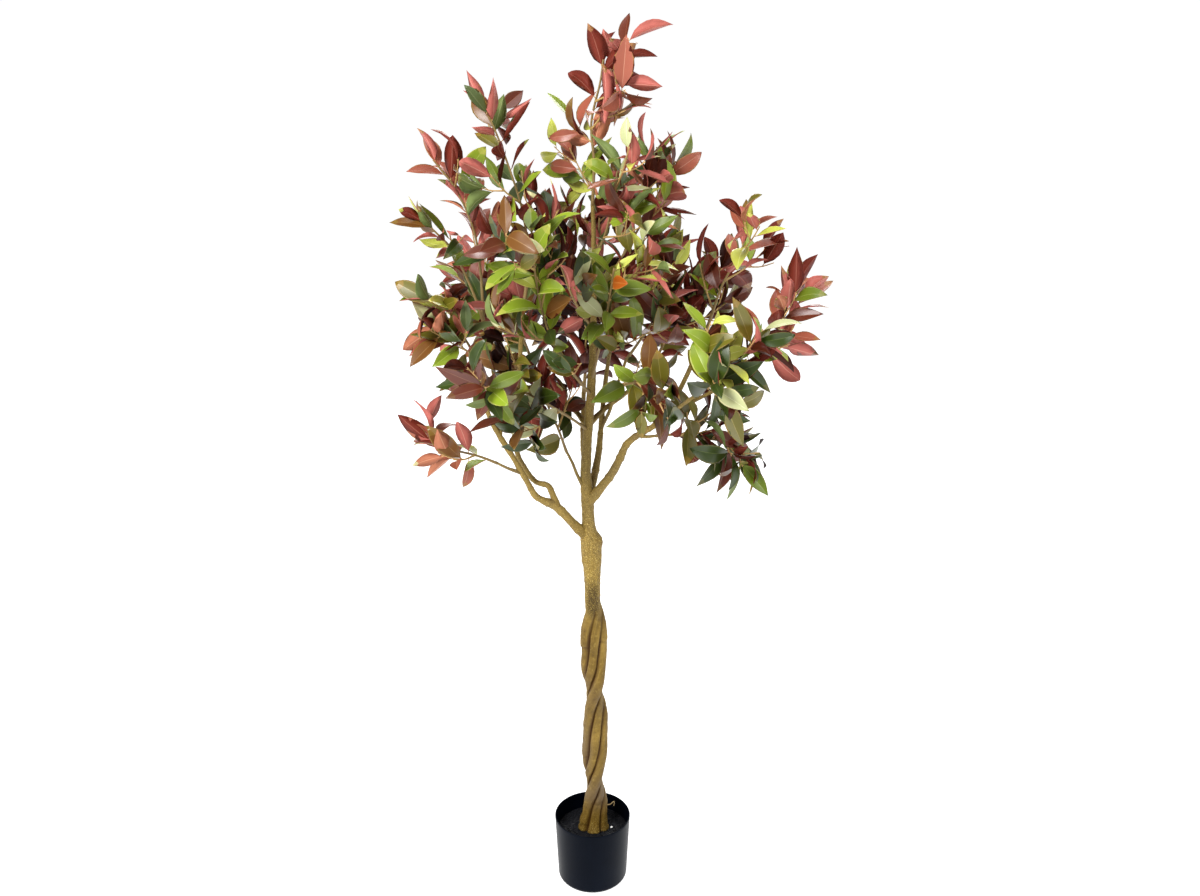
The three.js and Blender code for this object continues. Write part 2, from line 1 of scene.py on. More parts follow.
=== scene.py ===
"""An artificial indian laurel fig in a nursery pot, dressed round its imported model.

Shapes are worked out in millimetres and degrees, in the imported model's frame: the origin is the centre of
the pot's underside, +Z is up, X runs to the right and Y away from the viewer. A heading is degrees from +X
towards +Y, and a rise is degrees above level. Each mesh becomes metres where it is made.
"""
import math
from collections import namedtuple
from itertools import combinations

import bpy
import numpy as np
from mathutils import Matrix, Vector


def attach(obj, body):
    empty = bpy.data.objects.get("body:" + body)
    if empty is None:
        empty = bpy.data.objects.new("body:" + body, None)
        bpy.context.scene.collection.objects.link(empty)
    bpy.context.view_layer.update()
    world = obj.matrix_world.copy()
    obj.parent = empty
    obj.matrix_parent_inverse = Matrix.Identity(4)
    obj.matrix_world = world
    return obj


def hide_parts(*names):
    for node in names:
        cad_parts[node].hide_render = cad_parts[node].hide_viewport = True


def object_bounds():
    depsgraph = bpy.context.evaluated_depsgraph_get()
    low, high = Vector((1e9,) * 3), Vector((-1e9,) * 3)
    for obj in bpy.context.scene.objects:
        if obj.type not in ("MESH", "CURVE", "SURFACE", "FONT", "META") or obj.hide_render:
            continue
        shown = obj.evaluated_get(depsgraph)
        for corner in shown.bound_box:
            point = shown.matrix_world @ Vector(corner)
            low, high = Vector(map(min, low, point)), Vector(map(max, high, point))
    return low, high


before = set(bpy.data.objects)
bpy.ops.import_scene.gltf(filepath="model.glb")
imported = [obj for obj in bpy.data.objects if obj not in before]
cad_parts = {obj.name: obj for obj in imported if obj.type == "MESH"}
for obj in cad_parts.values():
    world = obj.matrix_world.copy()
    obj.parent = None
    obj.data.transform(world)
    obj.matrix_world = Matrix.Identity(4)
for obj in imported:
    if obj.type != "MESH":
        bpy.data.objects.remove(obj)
cad_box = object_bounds()

MM = 0.001

# The photograph's frame, and where its camera stood
PHOTO_WIDTH = 1200
CAMERA = {"focal_px": 1236, "down": 20, "x": 16.6, "y": -2290, "z": 1850}
SENSOR_MM = 36

# Pot and filling
POT = {"height": 157, "rim": 82.5, "foot": 76, "corner": 12, "wall": 2.4, "floor": 3, "columns": 144}
# Points along each stretch of the pot's profile, and along the filling's lower corner
STEPS = {"wall": 24, "corner": 12, "lip": 9, "inner": 8, "bed": 5}
FILL = {
    "top": 122, "flat": 38, "edge_drop": 2, "gap": 0.6, "first_ring": 0.5, "last_ring": 2, "level_edge": 3,
}
# Lumps of the filling, as rows for grains()
FILL_LUMPS = ((0.8, 11, 3, 1), (0.9, 3.4, 4, 1))
GRIT = {
    "row": 1.6, "columns": 240, "pebbles": 2200, "least": 0.8, "most": 2.3, "inset": 4, "stray": 1.5,
    "stray_turn": 0.4, "raised": 0.3, "dents": 9, "dent": 0.18, "narrow": 0.75, "stretch": 0.5, "flat": 0.6,
}
# A white chip in the grit: its middle, half sizes and turn
CHIP = {"at": (42.5, -3, 123.5), "half": (3.6, 2.6, 2.4), "turn": 30, "dents": 5, "dent": 0.12}
# A wiry rootlet on the foot's right side: its bends and its radii
ROOTLET = (
    (18, 0, 178), (33.6, 0, 180.5), (39.5, 0, 182), (46.3, -1, 189), (47.6, -1, 187), (46.8, -1, 177.6),
)
ROOTLET_RADII = (1.3, 1.1, 1.2, 1.0, 1.1, 0.6)
ROOTLET_GRID = {"sides": 10, "row": 1.5}

# Trunk: height, sway to the right, and radius, from the cut foot to the leader's tip
TRUNK = np.array([
    (122, 3, 21.9), (212, 6.5, 21.9), (266, 3.5, 22), (320, 5.8, 22), (410, 7.5, 22), (462, 4.2, 22),
    (498, 2.9, 22), (577, 4.2, 22), (626, 5.2, 22), (655, 4.2, 20), (681, 1.2, 16.3), (725, 0.9, 16.8),
    (758, 0.4, 18.3), (772, -0.7, 21), (824, -1.5, 21.2), (839, -4.6, 15), (852, -6.6, 13.2),
    (906, -8.4, 13), (966, -12, 10.7), (1031, -8.8, 10), (1126, -0.9, 8.5), (1246, 4.2, 6.5),
    (1365, 4.5, 5.2), (1457, 4.6, 4.3), (1492, 2.8, 3.8),
])
TRUNK_GRID = {"row": 3, "columns": 144}
BRAID = {
    "narrow": 82, "wide": 98, "top": 660, "fade": 40, "pitch": 444, "bulge_height": 577, "slack": 0.7,
    "oval": 4.8, "groove": 0.26, "roundness": 0.9,
}
FLARE = {"radius": 8, "height": 20, "toes": 0.35}
KNOB = {"height": 815, "tall": 11, "heading": -20, "out": 2.5}
# Creases between the strands: how wide and deep, how far one strand's edge laps over the next, how much the
# depth varies and over what length, where they end about the braid's top, and how strong the painted shade in
# them is, with its power and limit
CREASE = {
    "width": 9, "depth": 4.5, "overlap": 0.7, "least": 0.75, "varies": 0.35, "cell": 45, "seed": 11,
    "ends": (-6, 14), "dark": 1.15, "painted_shade_power": 1.2, "painted_shade_limit": 0.95,
}
# Sleeves on the strands: strand, height of the sharp lower edge, how far it stands out, and how far up it
# melts away. Below its ragged edge each has a band of shade.
SLEEVES = ((3, 578, 2.6, 60), (1, 592, 1.5, 40), (1, 309, 2.2, 70), (1, 462, 0.9, 14), (3, 430, 1.1, 50),
           (3, 138, 3.0, 26), (0, 196, 1.3, 50), (2, 255, 1.0, 45))
SLEEVE = {
    "edge": 2.2, "ragged": 2.5, "waves": 7, "holds": 5, "shade": 0.4, "shade_below": 2.5, "shade_half": 3,
}
STRAND_SWAY = {"out": 0.8, "pitch": 97, "shift": 1.9}
# Rough bark: above the braid, from a wavy lower edge, and again at the foot
ROUGH = {
    "low": 632, "wavy": 30, "full": 680, "foot": 0.7, "foot_full": 128, "foot_gone": 185, "thins": (850, 950),
    "thin": 0.4,
}
# Relief of the bark, as rows for grains(), and the radius below which it grows fainter
BARK_LUMPS = ((1.0, 34, 5, 1), (0.5, 9, 6, 1))
BARK_FIBRES = ((0.25, 2.6, 7, 0.1), (0.5, 8, 12, 0.3))
BARK_GRANULES = ((0.45, 2.6, 8, 1), (0.6, 5, 9, 1))
BARK_SLENDER = 12
# How much the fibres of the bark's finish are drawn out along a limb
FIBRE_SQUASH = {"trunk": 0.08, "bough": 0.12}
# Where the bark is worn grey, and where it is pale: height, heading, reach up and down, and strength. A spot
# starts and is full at these cosines of the turn away from its heading.
SPOT_EDGES = (-0.2, 0.9)
WORN = ((215, -75, 34, 0.9), (335, 175, 60, 0.8), (470, -120, 40, 0.35), (240, -10, 40, 0.5),
        (850, -60, 60, 0.2))
# Pale spots: the first, at the fork, is a painted highlight
PALE_AND_HIGHLIGHT = ((836, -110, 26, 0.6), (760, -90, 62, 0.9), (588, 0, 34, 0.9), (372, -75, 40, 0.5),
        (300, -60, 34, 0.3), (660, -140, 30, 0.5))
# Dark grains on the front, just above the braid
PEPPER = {"low": 640, "full": 672, "fades": 705, "gone": 745, "half_turn": 38, "soft": 0.25}

# Limbs: what each grows on and where (a height on the trunk, a share of a bough's length), its radius at even
# steps, and its legs as (length, heading, rise)
Bough = namedtuple("Bough", "on at radii legs")
Mass = namedtuple("Mass", "on at shoots reach spin seed tone legs")
BOUGHS = {
    "bough_left": Bough("trunk", 816, (10.5, 9.5, 9, 7, 6.2, 5.6, 5, 4.6), (
        (51, -163, 49), (58, -164, 50), (29, -168, 31), (23, -164, 37), (32, -172, 63),
        (63, -174, 63), (74, 172, 60), (61, 154, 68),
    )),
    "bough_left_inner": Bough("bough_left", 0.25, (6.5, 5.8, 5, 4.5, 4), (
        (29, 139, 65), (18, 143, 50), (24, 168, 14), (27, 164, 46), (42, -163, 65), (44, -138, 80),
        (64, -46, 84), (93, -26, 83), (80, -40, 84),
    )),
    "bough_left_upper": Bough("bough_left", 0.825, (4, 3.6, 3.2), (
        (55, 96, 54), (98, 117, 70), (79, 127, 72),
    )),
    "bough_left_low": Bough("bough_left", 0.675, (3.2, 2.8, 2.6), (
        (32, -155, 27), (25, -166, 31),
    )),
    "bough_thin_left": Bough("trunk", 917, (3.6, 3, 2.7), (
        (52, -153, 65), (28, -150, 69), (29, -157, 64),
    )),
    "bough_centre": Bough("trunk", 906, (7.8, 7.2, 6, 5, 4.2), (
        (46, 58, 59), (51, 47, 74), (35, 57, 80), (37, 59, 81), (59, 59, 79), (78, 64, 73),
    )),
    "bough_centre_right": Bough("bough_centre", 0.583, (3.6, 3.2, 2.8), (
        (42, -22, 64), (44, -45, 71), (77, -43, 68),
    )),
    "bough_right": Bough("trunk", 899, (9, 8.5, 7.5, 6.5, 5.6, 5, 4.4), (
        (48, -20, 53), (40, -25, 55), (44, -29, 63), (26, -30, 67), (23, -19, 49), (29, -12, 36),
        (22, -16, 35), (34, 23, 43), (60, 33, 53), (74, 33, 60),
    )),
    "bough_right_low": Bough("bough_right", 0.535, (3.2, 2.9, 2.7), (
        (20, -23, 2), (18, -14, 10),
    )),
    "bough_right_front": Bough("bough_right", 0.7, (4, 3.6, 3.2), (
        (91, -56, 37), (69, -62, 35),
    )),
    "bough_right_outer": Bough("bough_right", 0.8, (4.2, 3.6, 3.2), (
        (68, -10, 27), (74, 0, 29),
    )),
    "bough_back": Bough("trunk", 960, (7, 6.2, 5.2, 4.4), (
        (54, 95, 34), (64, 93, 39), (76, 89, 43),
    )),
    "bough_back_right": Bough("trunk", 1065, (5.6, 5, 4.4, 3.8), (
        (48, 47, 25), (56, 36, 24), (54, 24, 29),
    )),
    "bough_back_left": Bough("trunk", 1060, (5.6, 5, 4.4, 3.8), (
        (52, 125, 25), (56, 138, 23), (56, 142, 29),
    )),
}
# Masses of leaves: what the stem grows on and where, its side shoots and their length, the turn of the first
# shoot, the seed, the tone, and the legs of the stem
MASSES = {
    "leaves_top": Mass("trunk", None, 4, 72, 0, 1, "red", (
        (78, 0, 88), (70, 160, 86), (72, -25, 76), (40, 0, 82),
    )),
    "leaves_upper_right": Mass("trunk", 1295, 3, 89, 200, 2, "red", (
        (74, 30, 58), (102, 11, 59), (83, -14, 61), (60, -28, 62),
    )),
    "leaves_upper_left": Mass("bough_left_inner", None, 3, 101, 60, 3, "red", (
        (105, 2, 83), (97, 128, 82), (112, 163, 72), (75, 180, 69),
    )),
    "leaves_left_high": Mass("bough_left_upper", None, 3, 78, 220, 4, "red", (
        (89, 162, 89), (83, 180, 83), (85, -173, 69), (69, -173, 54),
    )),
    "leaves_left_far": Mass("bough_left_upper", 0.75, 1, 78, 40, 24, "red", (
        (91, 179, 78), (105, -176, 68), (54, -177, 51), (34, 180, 41),
    )),
    "leaves_left_mid": Mass("bough_left", None, 3, 89, 200, 5, "green", (
        (85, 180, 80), (55, 180, 60), (28, 180, 50),
    )),
    "leaves_low_left": Mass("bough_left_low", None, 2, 61, 200, 6, "red", (
        (44, -166, 26), (56, 180, 14), (28, 170, 10),
    )),
    "leaves_low_centre": Mass("bough_thin_left", None, 2, 125, 53, 7, "red", (
        (52, -146, 70), (53, 155, 64), (42, 125, 55),
    )),
    "leaves_front_left": Mass("trunk", 1126, 4, 108, 180, 8, "green", (
        (107, -115, 40), (127, -117, 48), (116, -113, 65), (97, -122, 83),
    )),
    "leaves_front_low_left": Mass("trunk", 1054, 3, 110, 280, 9, "green", (
        (89, -124, 35), (110, -124, 32), (80, -143, 32), (40, 180, 17),
    )),
    "leaves_front_centre": Mass("trunk", 1156, 3, 119, 180, 10, "green", (
        (115, -77, 51), (107, -80, 48), (103, -77, 60),
    )),
    "leaves_front_low_right": Mass("trunk", 1106, 2, 98, 67, 11, "green", (
        (94, -57, 34), (117, -69, 22), (70, -49, 29),
    )),
    "leaves_centre_left": Mass("trunk", 1256, 3, 150, 260, 12, "green", (
        (70, 141, 47), (81, 145, 65), (87, 180, 78),
    )),
    "leaves_centre_top": Mass("trunk", 1390, 3, 103, 255, 13, "red", (
        (70, -62, 50), (65, -41, 74), (55, 29, 80),
    )),
    "leaves_right_high": Mass("bough_right", None, 3, 98, 80, 14, "red", (
        (66, 0, 71), (69, -27, 72), (70, -12, 64), (40, 19, 68),
    )),
    "leaves_right_far": Mass("bough_right_outer", None, 3, 58, 260, 15, "red", (
        (80, 0, 50), (70, 10, 52), (60, 5, 52),
    )),
    "leaves_right_front": Mass("bough_right_front", None, 3, 85, 267, 16, "green", (
        (74, -69, 43), (56, -54, 44),
    )),
    "leaves_low_right": Mass("bough_right_low", None, 3, 64, 60, 17, "green", (
        (38, -8, 6), (44, -12, -3), (44, 0, -8), (15, 0, -6),
    )),
    "leaves_centre_right": Mass("bough_centre", None, 2, 120, 87, 18, "green", (
        (80, 12, 52), (93, -40, 60), (65, -66, 63),
    )),
    "leaves_mid_right": Mass("bough_centre_right", None, 2, 80, 303, 19, "green", (
        (67, -31, 55), (52, -18, 58), (30, 0, 52),
    )),
    "leaves_back": Mass("bough_back", None, 4, 138, 307, 20, "red", (
        (70, 85, 55), (70, 95, 50), (60, 100, 60),
    )),
    "leaves_back_right": Mass("bough_back_right", None, 4, 138, 207, 21, "green", (
        (80, 38, 55), (80, 45, 50), (60, 40, 60),
    )),
    "leaves_back_left": Mass("bough_back_left", None, 4, 120, 240, 22, "red", (
        (80, 130, 58), (80, 135, 52), (60, 140, 60),
    )),
    "leaves_back_high": Mass("trunk", 1335, 4, 120, 20, 23, "green", (
        (70, 80, 50), (80, 85, 58), (70, 70, 66),
    )),
}
# Masses of the crown's open outer sprays, and those of its close inside
OPEN = {"top", "upper_right", "upper_left", "left_high", "left_far", "low_left", "right_high", "right_far",
        "centre_top"}
INNER = {"low_centre", "centre_left", "centre_right", "mid_right", "back", "back_right", "back_left",
         "back_high"}
BOUGH_GRID = {"sides": 22, "row": 4}
BOUGH_SKIN = {"lumps": 0.8, "flare": 0.35, "knots": 0.16}
# Bark of the boughs: how rough, how dark the painted shade at the root is and over what length, and its
# drifts of worn and pale bark, with the least and most of each
BOUGH_BARK = {
    "rough": 0.5, "dark": 0.5, "painted_shade_reach": 9, "drift": 15, "drift_squash": 0.5, "worn": (0.05, 0.7),
    "pale": (0, 0.8),
}
BOUGH_SEEDS = {"skin": 20, "skin_step": 3, "drift": 40}
TWIG_GRID = {"sides": 7, "row": 7}
TWIG_FLARE = 0.3
# Skin of a limb: reach of its flare, spacing of its knots, lumps as rows for grains(), and the radius below
# which they grow fainter
LIMB = {"flare_reach": 16, "knot_spacing": 47, "knot_power": 12, "slender": 8}
LIMB_LUMPS = ((1, 22, 0, 1), (0.5, 7, 1, 1), (0.4, 2.6, 2, 1))

# Growth rule of a mass
GROWTH = {
    "golden_turn": 137.5, "spray_turn": 77, "first_shoot": 0.22, "last_shoot": 0.9, "shoot_offset": 0.4,
    "stem_bare": 0.42, "leafy_bare": 0.12, "divergence": 48, "lift": 0.3, "shoot_legs": 2,
    "length_spread": 0.3, "internode": 13.5, "inner_internode": 9.5, "open_internode": 17,
    "first_leaf": 0.18, "last_leaf": 0.99, "tries": 6, "shoot_retry_turn": 31, "leaf_retry_turn": 23,
}
STEM = {"root": 4, "trunk_root": 3, "middle": 2.2, "tip": 1.7}
SHOOT = {"root": 1.9, "tip": 1.1}
FINE = {"places": (0.25, 0.5, 0.75), "lean": 43, "turn": 90, "turn_step": 160, "legs": (26, 24), "leaves": 4,
        "first_leaf": 0.3, "root": 1.4, "tip": 0.9, "first_spray": 20, "sprays": 5}
LEAF = {
    "length": 81, "spread": 0.5, "tip_shrink": 0.2, "width": 0.41, "open_angle": 66, "tip_angle": 24,
    "apart": 4.5, "clear": 3, "twig_clear": 2, "beyond": 10,
    "turn_share": 0.45, "turn_most": 60, "turn_spread": 60, "lean_spread": 30,
}
# Masses whose last leaves spread wide, as a rosette, and the lean of the last one
ROSETTES = {"front_centre", "front_left", "front_low_left", "front_low_right", "right_front", "centre_top"}
ROSETTE_ANGLE = 58
# Masses whose stems carry leaves from near their foot, and how far the leaves of one hang down
LEAFY_STEMS = INNER | {"low_left", "low_right"}
DROOP = {"low_right": 0.35}
# How low and how far to the right the leaves of one mass may reach
KEEPS_ABOVE = {"low_right": 966}
KEEPS_LEFT_OF = {"low_right": 332}
# Each mass keeps to the points that are nearer to these shares of its own stem than to any other's
SPACE = {"shares": (0.4, 0.6, 0.8, 1), "margin": 1}
# Limbs are tested as beads at this step, and of the trunk only its last stations reach the crown
BEAD_STEP = 8
TRUNK_IN_CROWN = 9
# Added to a leaf's place about the trunk's axis, this gives the way that its shown side looks
OUTLOOK = (0, -20, 25)
# Shares of a shoot's length that are tested for its mass's space, and against the limbs
TESTED = {"space": (0.5, 1), "limbs": (0.3, 0.5, 0.7, 1)}
# Places in the rows of repeatable numbers: a spray's leaves, their three draws, the lengths of the shoots
DRAWS = {"per_spray": 40, "shifts": (0, 0.31, 0.62), "shoot_lengths": 900}


def smooth(value, low, high):
    """0 below low, 1 above high, and 3t^2 - 2t^3 between them."""
    t = np.clip((value - low) / (high - low), 0, 1)
    return t * t * (3 - 2 * t)


def chance(seed, index):
    """Repeatable numbers from 0 to 1: the fraction of a large sine."""
    value = np.sin(seed * 127.1 + np.asarray(index) * 311.7) * 43758.5453
    return value - np.floor(value)


def unit(vectors):
    """Each vector over its length."""
    return vectors / np.linalg.norm(vectors, axis=-1, keepdims=True)


def direction(heading, rise):
    """Unit vector for a heading and a rise."""
    heading, rise = math.radians(heading), math.radians(rise)
    level = math.cos(rise)
    return np.array([level * math.cos(heading), level * math.sin(heading), math.sin(rise)])


def grain(points, size, seed):
    """Soft noise from -1 to 1: a number drawn at each corner of a lattice of cells, blended across them."""
    cells = points / size
    corner = np.floor(cells)
    part = smooth(cells - corner, 0, 1)
    total = 0
    for step in np.ndindex(2, 2, 2):
        drawn = np.sin((corner + step) @ np.array([127.1, 311.7, 74.7]) + 17.3 * seed) * 43758.5453
        share = np.where(step, part, 1 - part).prod(axis=-1)
        total = total + share * (drawn - np.floor(drawn))
    return 2 * total - 1


def grains(points, rows, seed=0):
    """Sum of soft noises. A row has the height, the cell's size, the seed and a squash along the limb."""
    return sum(high * grain(points * [1, 1, along], size, seed + own) for high, size, own, along in rows)


def spun(shape, turn):
    """Points turned about Z by an angle in radians, of which there may be one for each shape."""
    x = shape[..., 0] * np.cos(turn) - shape[..., 1] * np.sin(turn)
    y = shape[..., 0] * np.sin(turn) + shape[..., 1] * np.cos(turn)
    return np.stack([x, y, shape[..., 2]], axis=-1)


class Path:
    """Smooth curve through points: cubic legs that run, at each point, along half the step between the points
    before and after it. The ends are reflected.
    """

    def __init__(self, points):
        points = np.asarray(points, float)
        self.points = np.vstack([2 * points[0] - points[1], points, 2 * points[-1] - points[-2]])
        self.legs = len(points) - 1

    def at(self, share):
        """Points at shares from 0 to 1, where every leg takes an equal share."""
        place = np.clip(np.atleast_1d(share), 0, 1) * self.legs
        leg = np.minimum(place.astype(int), self.legs - 1)
        t = (place - leg)[:, None]
        before, start, end, after = (self.points[leg + step] for step in range(4))
        leave, arrive = (end - before) / 2, (after - start) / 2
        cubic = 2 * (start - end) + leave + arrive
        return start + leave * t + (3 * (end - start) - 2 * leave - arrive) * t ** 2 + cubic * t ** 3

    def along(self, share):
        """Unit vector along the curve: the step between two points just before and after."""
        share = np.atleast_1d(share)
        return unit(self.at(np.minimum(share + 1e-4, 1)) - self.at(np.maximum(share - 1e-4, 0)))

    def length(self):
        """Length of the curve as 64 straight steps."""
        return np.linalg.norm(np.diff(self.at(np.linspace(0, 1, 65)), axis=0), axis=1).sum()


def trunk_sway(height):
    """How far right the trunk's axis lies at a height: straight between the stations."""
    return np.interp(height, TRUNK[:, 0], TRUNK[:, 1])


def limb_paths():
    """The path of every bough and stem: straight legs from a point on its parent, smoothed."""
    paths = {}
    for name, limb in {**BOUGHS, **MASSES}.items():
        if limb.on == "trunk":
            height = limb.at or TRUNK[-1, 0] - 1
            points = [np.array([trunk_sway(height), 0, height])]
        else:
            points = [paths[limb.on].at(1 if limb.at is None else limb.at)[0]]
        for length, heading, rise in limb.legs:
            points.append(points[-1] + length * direction(heading, rise))
        paths[name] = Path(points)
    return paths


# Meshes

def grid_faces(rows, columns):
    """Quads between neighbouring rings of a grid that is stored ring by ring."""
    near = np.arange(rows * columns).reshape(rows, columns)
    far = np.roll(near, -1, axis=1)
    return np.stack([near[:-1], far[:-1], far[1:], near[1:]], axis=-1).reshape(-1, 4)


def closed_skin(rings):
    """Points and faces of a skin: a grid of rings, closed at both ends by a fan to the end ring's middle."""
    rows, columns = rings.shape[:2]
    points = np.vstack([rings.reshape(-1, rings.shape[-1]), rings[[0, -1]].mean(axis=1)])
    ring = np.arange(columns)
    after = np.roll(ring, -1)
    last = (rows - 1) * columns
    foot, tip = rows * columns, rows * columns + 1
    foot_fan = [[foot, b, a] for a, b in zip(ring, after)]
    tip_fan = [[tip, last + a, last + b] for a, b in zip(ring, after)]
    return points, grid_faces(rows, columns).tolist() + foot_fan + tip_fan


def with_ends(values):
    """A value for each point of a closed skin, from a grid of values."""
    return np.concatenate([values.reshape((-1,) + values.shape[2:]), values[[0, -1]].mean(axis=1)])


def joined(parts):
    """One list of points, faces and kinds from several."""
    points, faces, kinds, first = [], [], [], 0
    for part_points, part_faces, part_kinds in parts:
        points.append(part_points)
        faces.extend([[first + corner for corner in face] for face in part_faces])
        kinds.extend(part_kinds)
        first += len(part_points)
    return np.vstack(points), faces, kinds


def add_piece(name, points, faces, finishes, nodes=(), kinds=None, fields=None):
    """A smooth piece on the root body, from points in millimetres.

    kinds gives each face its finish, and fields gives the points named numbers or vectors.
    """
    mesh = bpy.data.meshes.new(name)
    mesh.from_pydata((points * MM).tolist(), [], faces)
    for finish in finishes:
        mesh.materials.append(finish)
    if kinds is not None:
        mesh.polygons.foreach_set("material_index", np.asarray(kinds, np.int32))
    mesh.polygons.foreach_set("use_smooth", np.ones(len(mesh.polygons), bool))
    for field, values in (fields or {}).items():
        vector = values.ndim == 2
        layer = mesh.attributes.new(field, "FLOAT_VECTOR" if vector else "FLOAT", "POINT")
        numbers = np.ascontiguousarray(values, np.float32).ravel()
        layer.data.foreach_set("vector" if vector else "value", numbers)
    mesh.update()
    piece = bpy.data.objects.new(name, mesh)
    bpy.context.scene.collection.objects.link(piece)
    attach(piece, "root")
    if nodes:
        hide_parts(*nodes)
    return piece


# Finishes

def tint(code):
    """Linear colour of a six-digit web colour."""
    parts = np.array([int(code[i:i + 2], 16) for i in (0, 2, 4)]) / 255
    linear = np.where(parts <= 0.04045, parts / 12.92, ((parts + 0.055) / 1.055) ** 2.4)
    return (*(float(v) for v in linear), 1.0)


class Value:
    """A socket's value, on which arithmetic adds Math nodes."""

    def __init__(self, finish, socket):
        self.finish = finish
        self.socket = socket

    def maths(self, operation, first, second):
        """A Math node on two values, of which either may be a number."""
        return self.finish.node("Math", {"operation": operation}, {0: first, 1: second})

    def __add__(self, other):
        return self.maths("ADD", self, other)

    def __radd__(self, other):
        return self.maths("ADD", other, self)

    def __mul__(self, other):
        return self.maths("MULTIPLY", self, other)

    def __rmul__(self, other):
        return self.maths("MULTIPLY", other, self)


def socket_name(name):
    """A socket's own name for a keyword: specular_ior_level becomes Specular IOR Level."""
    return name.replace("_", " ").title().replace("Ior", "IOR")


class Finish:
    """A material that is built node by node round one Principled shader."""

    def __init__(self, name, **constants):
        self.material = bpy.data.materials.new(name)
        self.material.use_nodes = True
        self.tree = self.material.node_tree
        self.shader = self.tree.nodes["Principled BSDF"]
        for socket, value in constants.items():
            self.shader.inputs[socket_name(socket)].default_value = value
        self.material.diffuse_color = self.shader.inputs["Base Color"].default_value[:]

    def node(self, kind, settings, sockets, out=0):
        """A node of a kind, with its settings made first and then its sockets set or linked."""
        made = self.tree.nodes.new("ShaderNode" + kind)
        for setting, value in settings.items():
            setattr(made, setting, value)
        for socket, value in sockets.items():
            if isinstance(value, Value):
                self.tree.links.new(value.socket, made.inputs[socket])
            else:
                made.inputs[socket].default_value = value
        return Value(self, made.outputs[out])

    def noise(self, vector, scale, detail=3, roughness=0.55):
        """Soft noise from 0 to 1 at a vector, at a scale in cells for each metre."""
        return self.node("TexNoise", {}, {
            "Vector": vector, "Scale": scale, "Detail": detail, "Roughness": roughness,
        })

    def mix(self, share, first, second):
        """The first colour where share is 0 and the second where it is 1."""
        return self.node("Mix", {"data_type": "RGBA"}, {0: share, 6: first, 7: second}, out=2)

    def steps(self, value, low, high):
        """value carried from low..high to 0..1, smoothly and clipped."""
        return self.node("MapRange", {"interpolation_type": "SMOOTHSTEP"}, {0: value, 1: low, 2: high})

    def feed(self, **links):
        """Links values to the shader's sockets."""
        for socket, value in links.items():
            self.tree.links.new(value.socket, self.shader.inputs[socket_name(socket)])

    def bump(self, height, depth, strength=1):
        """A relief of a depth in metres, under the shader's normal."""
        normal = self.node("Bump", {}, {"Height": height, "Distance": depth, "Strength": strength})
        self.feed(Normal=normal)


def pot_finish():
    """Satin black plastic with a bluish sheen, a slow haze and fine specks."""
    finish = Finish("pot_plastic", base_color=tint("05070b"), roughness=0.3, specular_ior_level=0.06,
                    specular_tint=tint("c9deff"))
    place = finish.node("TexCoord", {}, {}, out="Object")
    haze = finish.noise(place, 9, 4)
    speck = finish.noise(place, 900, 2)
    tone = finish.mix(finish.steps(haze, 0.35, 0.75), tint("03050c"), tint("060a14"))
    finish.feed(base_color=tone, roughness=0.28 + haze * 0.12 + speck * 0.05)
    finish.bump(haze * 0.6 + speck * 0.4, 0.00025, 0.35)
    return finish.material


def fill_finish():
    """Black grit: grains of charcoal, slate and a few pale specks."""
    finish = Finish("grit", base_color=tint("1c1d21"), roughness=0.7, specular_ior_level=0.25)
    place = finish.node("TexCoord", {}, {}, out="Object")
    cells = finish.node("TexVoronoi", {}, {"Vector": place, "Scale": 330.0}, out="Color")
    lot = finish.node("SeparateColor", {}, {0: cells})
    fine = finish.noise(place, 1400, 2)
    tone = finish.mix(lot, tint("030306"), tint("0f1118"))
    pale = finish.steps(fine, 0.64, 0.72)
    finish.feed(base_color=finish.mix(pale * 0.4, tone, tint("5c6068")), roughness=0.5 + lot * 0.4)
    finish.bump(fine, 0.0006, 0.8)
    return finish.material


# Fields that the bark's points carry, and its noises: scale, detail and roughness
# hollow carries painted shade: in the creases, below the sleeves' edges and at each bough's root
BARK_FIELDS = ("hollow", "rough", "pepper", "worn", "pale")
BARK_NOISES = {"drift": (34, 4), "mottle": (150, 3, 0.6), "granules": (520, 3, 0.7), "flecks": (700, 2, 0.6)}
# Layers of the bark's tone, each over the last: what lays it on, the values that it starts and is full at,
# what thins it, its share and its colour. Heights are in metres.
BARK_LAYERS = (
    # Pale spots, of which the one at the fork is a painted highlight
    ("pale", None, None, 0.85, "927733"),
    ("streaks", (0.52, 0.8), None, 0.4, "a38737"),
    ("streaks", (0.48, 0.24), None, 0.35, "3c2a0a"),
    ("mottle", (0.46, 0.28), None, 0.45, "44310d"),
    ("mottle", (0.54, 0.72), None, 0.4, "9c8440"),
    ("height", (0.8, 0.93), None, 0.45, "978146"),
    ("height", (0.2, 0.14), None, 0.6, "664a06"),
    ("worn", None, "streaky", 1, "66543b"),
    ("flecks", (0.56, 0.66), "rough", 0.9, "d3bb6c"),
    ("granules", (0.48, 0.34), "rough", 0.85, "33260a"),
    ("pepper", None, None, 0.6, "513d0d"),
    ("flecks", (0.56, 0.4), "pepper", 0.9, "241a05"),
    # Painted shade in the creases, below the sleeves and at the boughs' roots
    ("hollow", None, None, 1, "3f2300"),
)


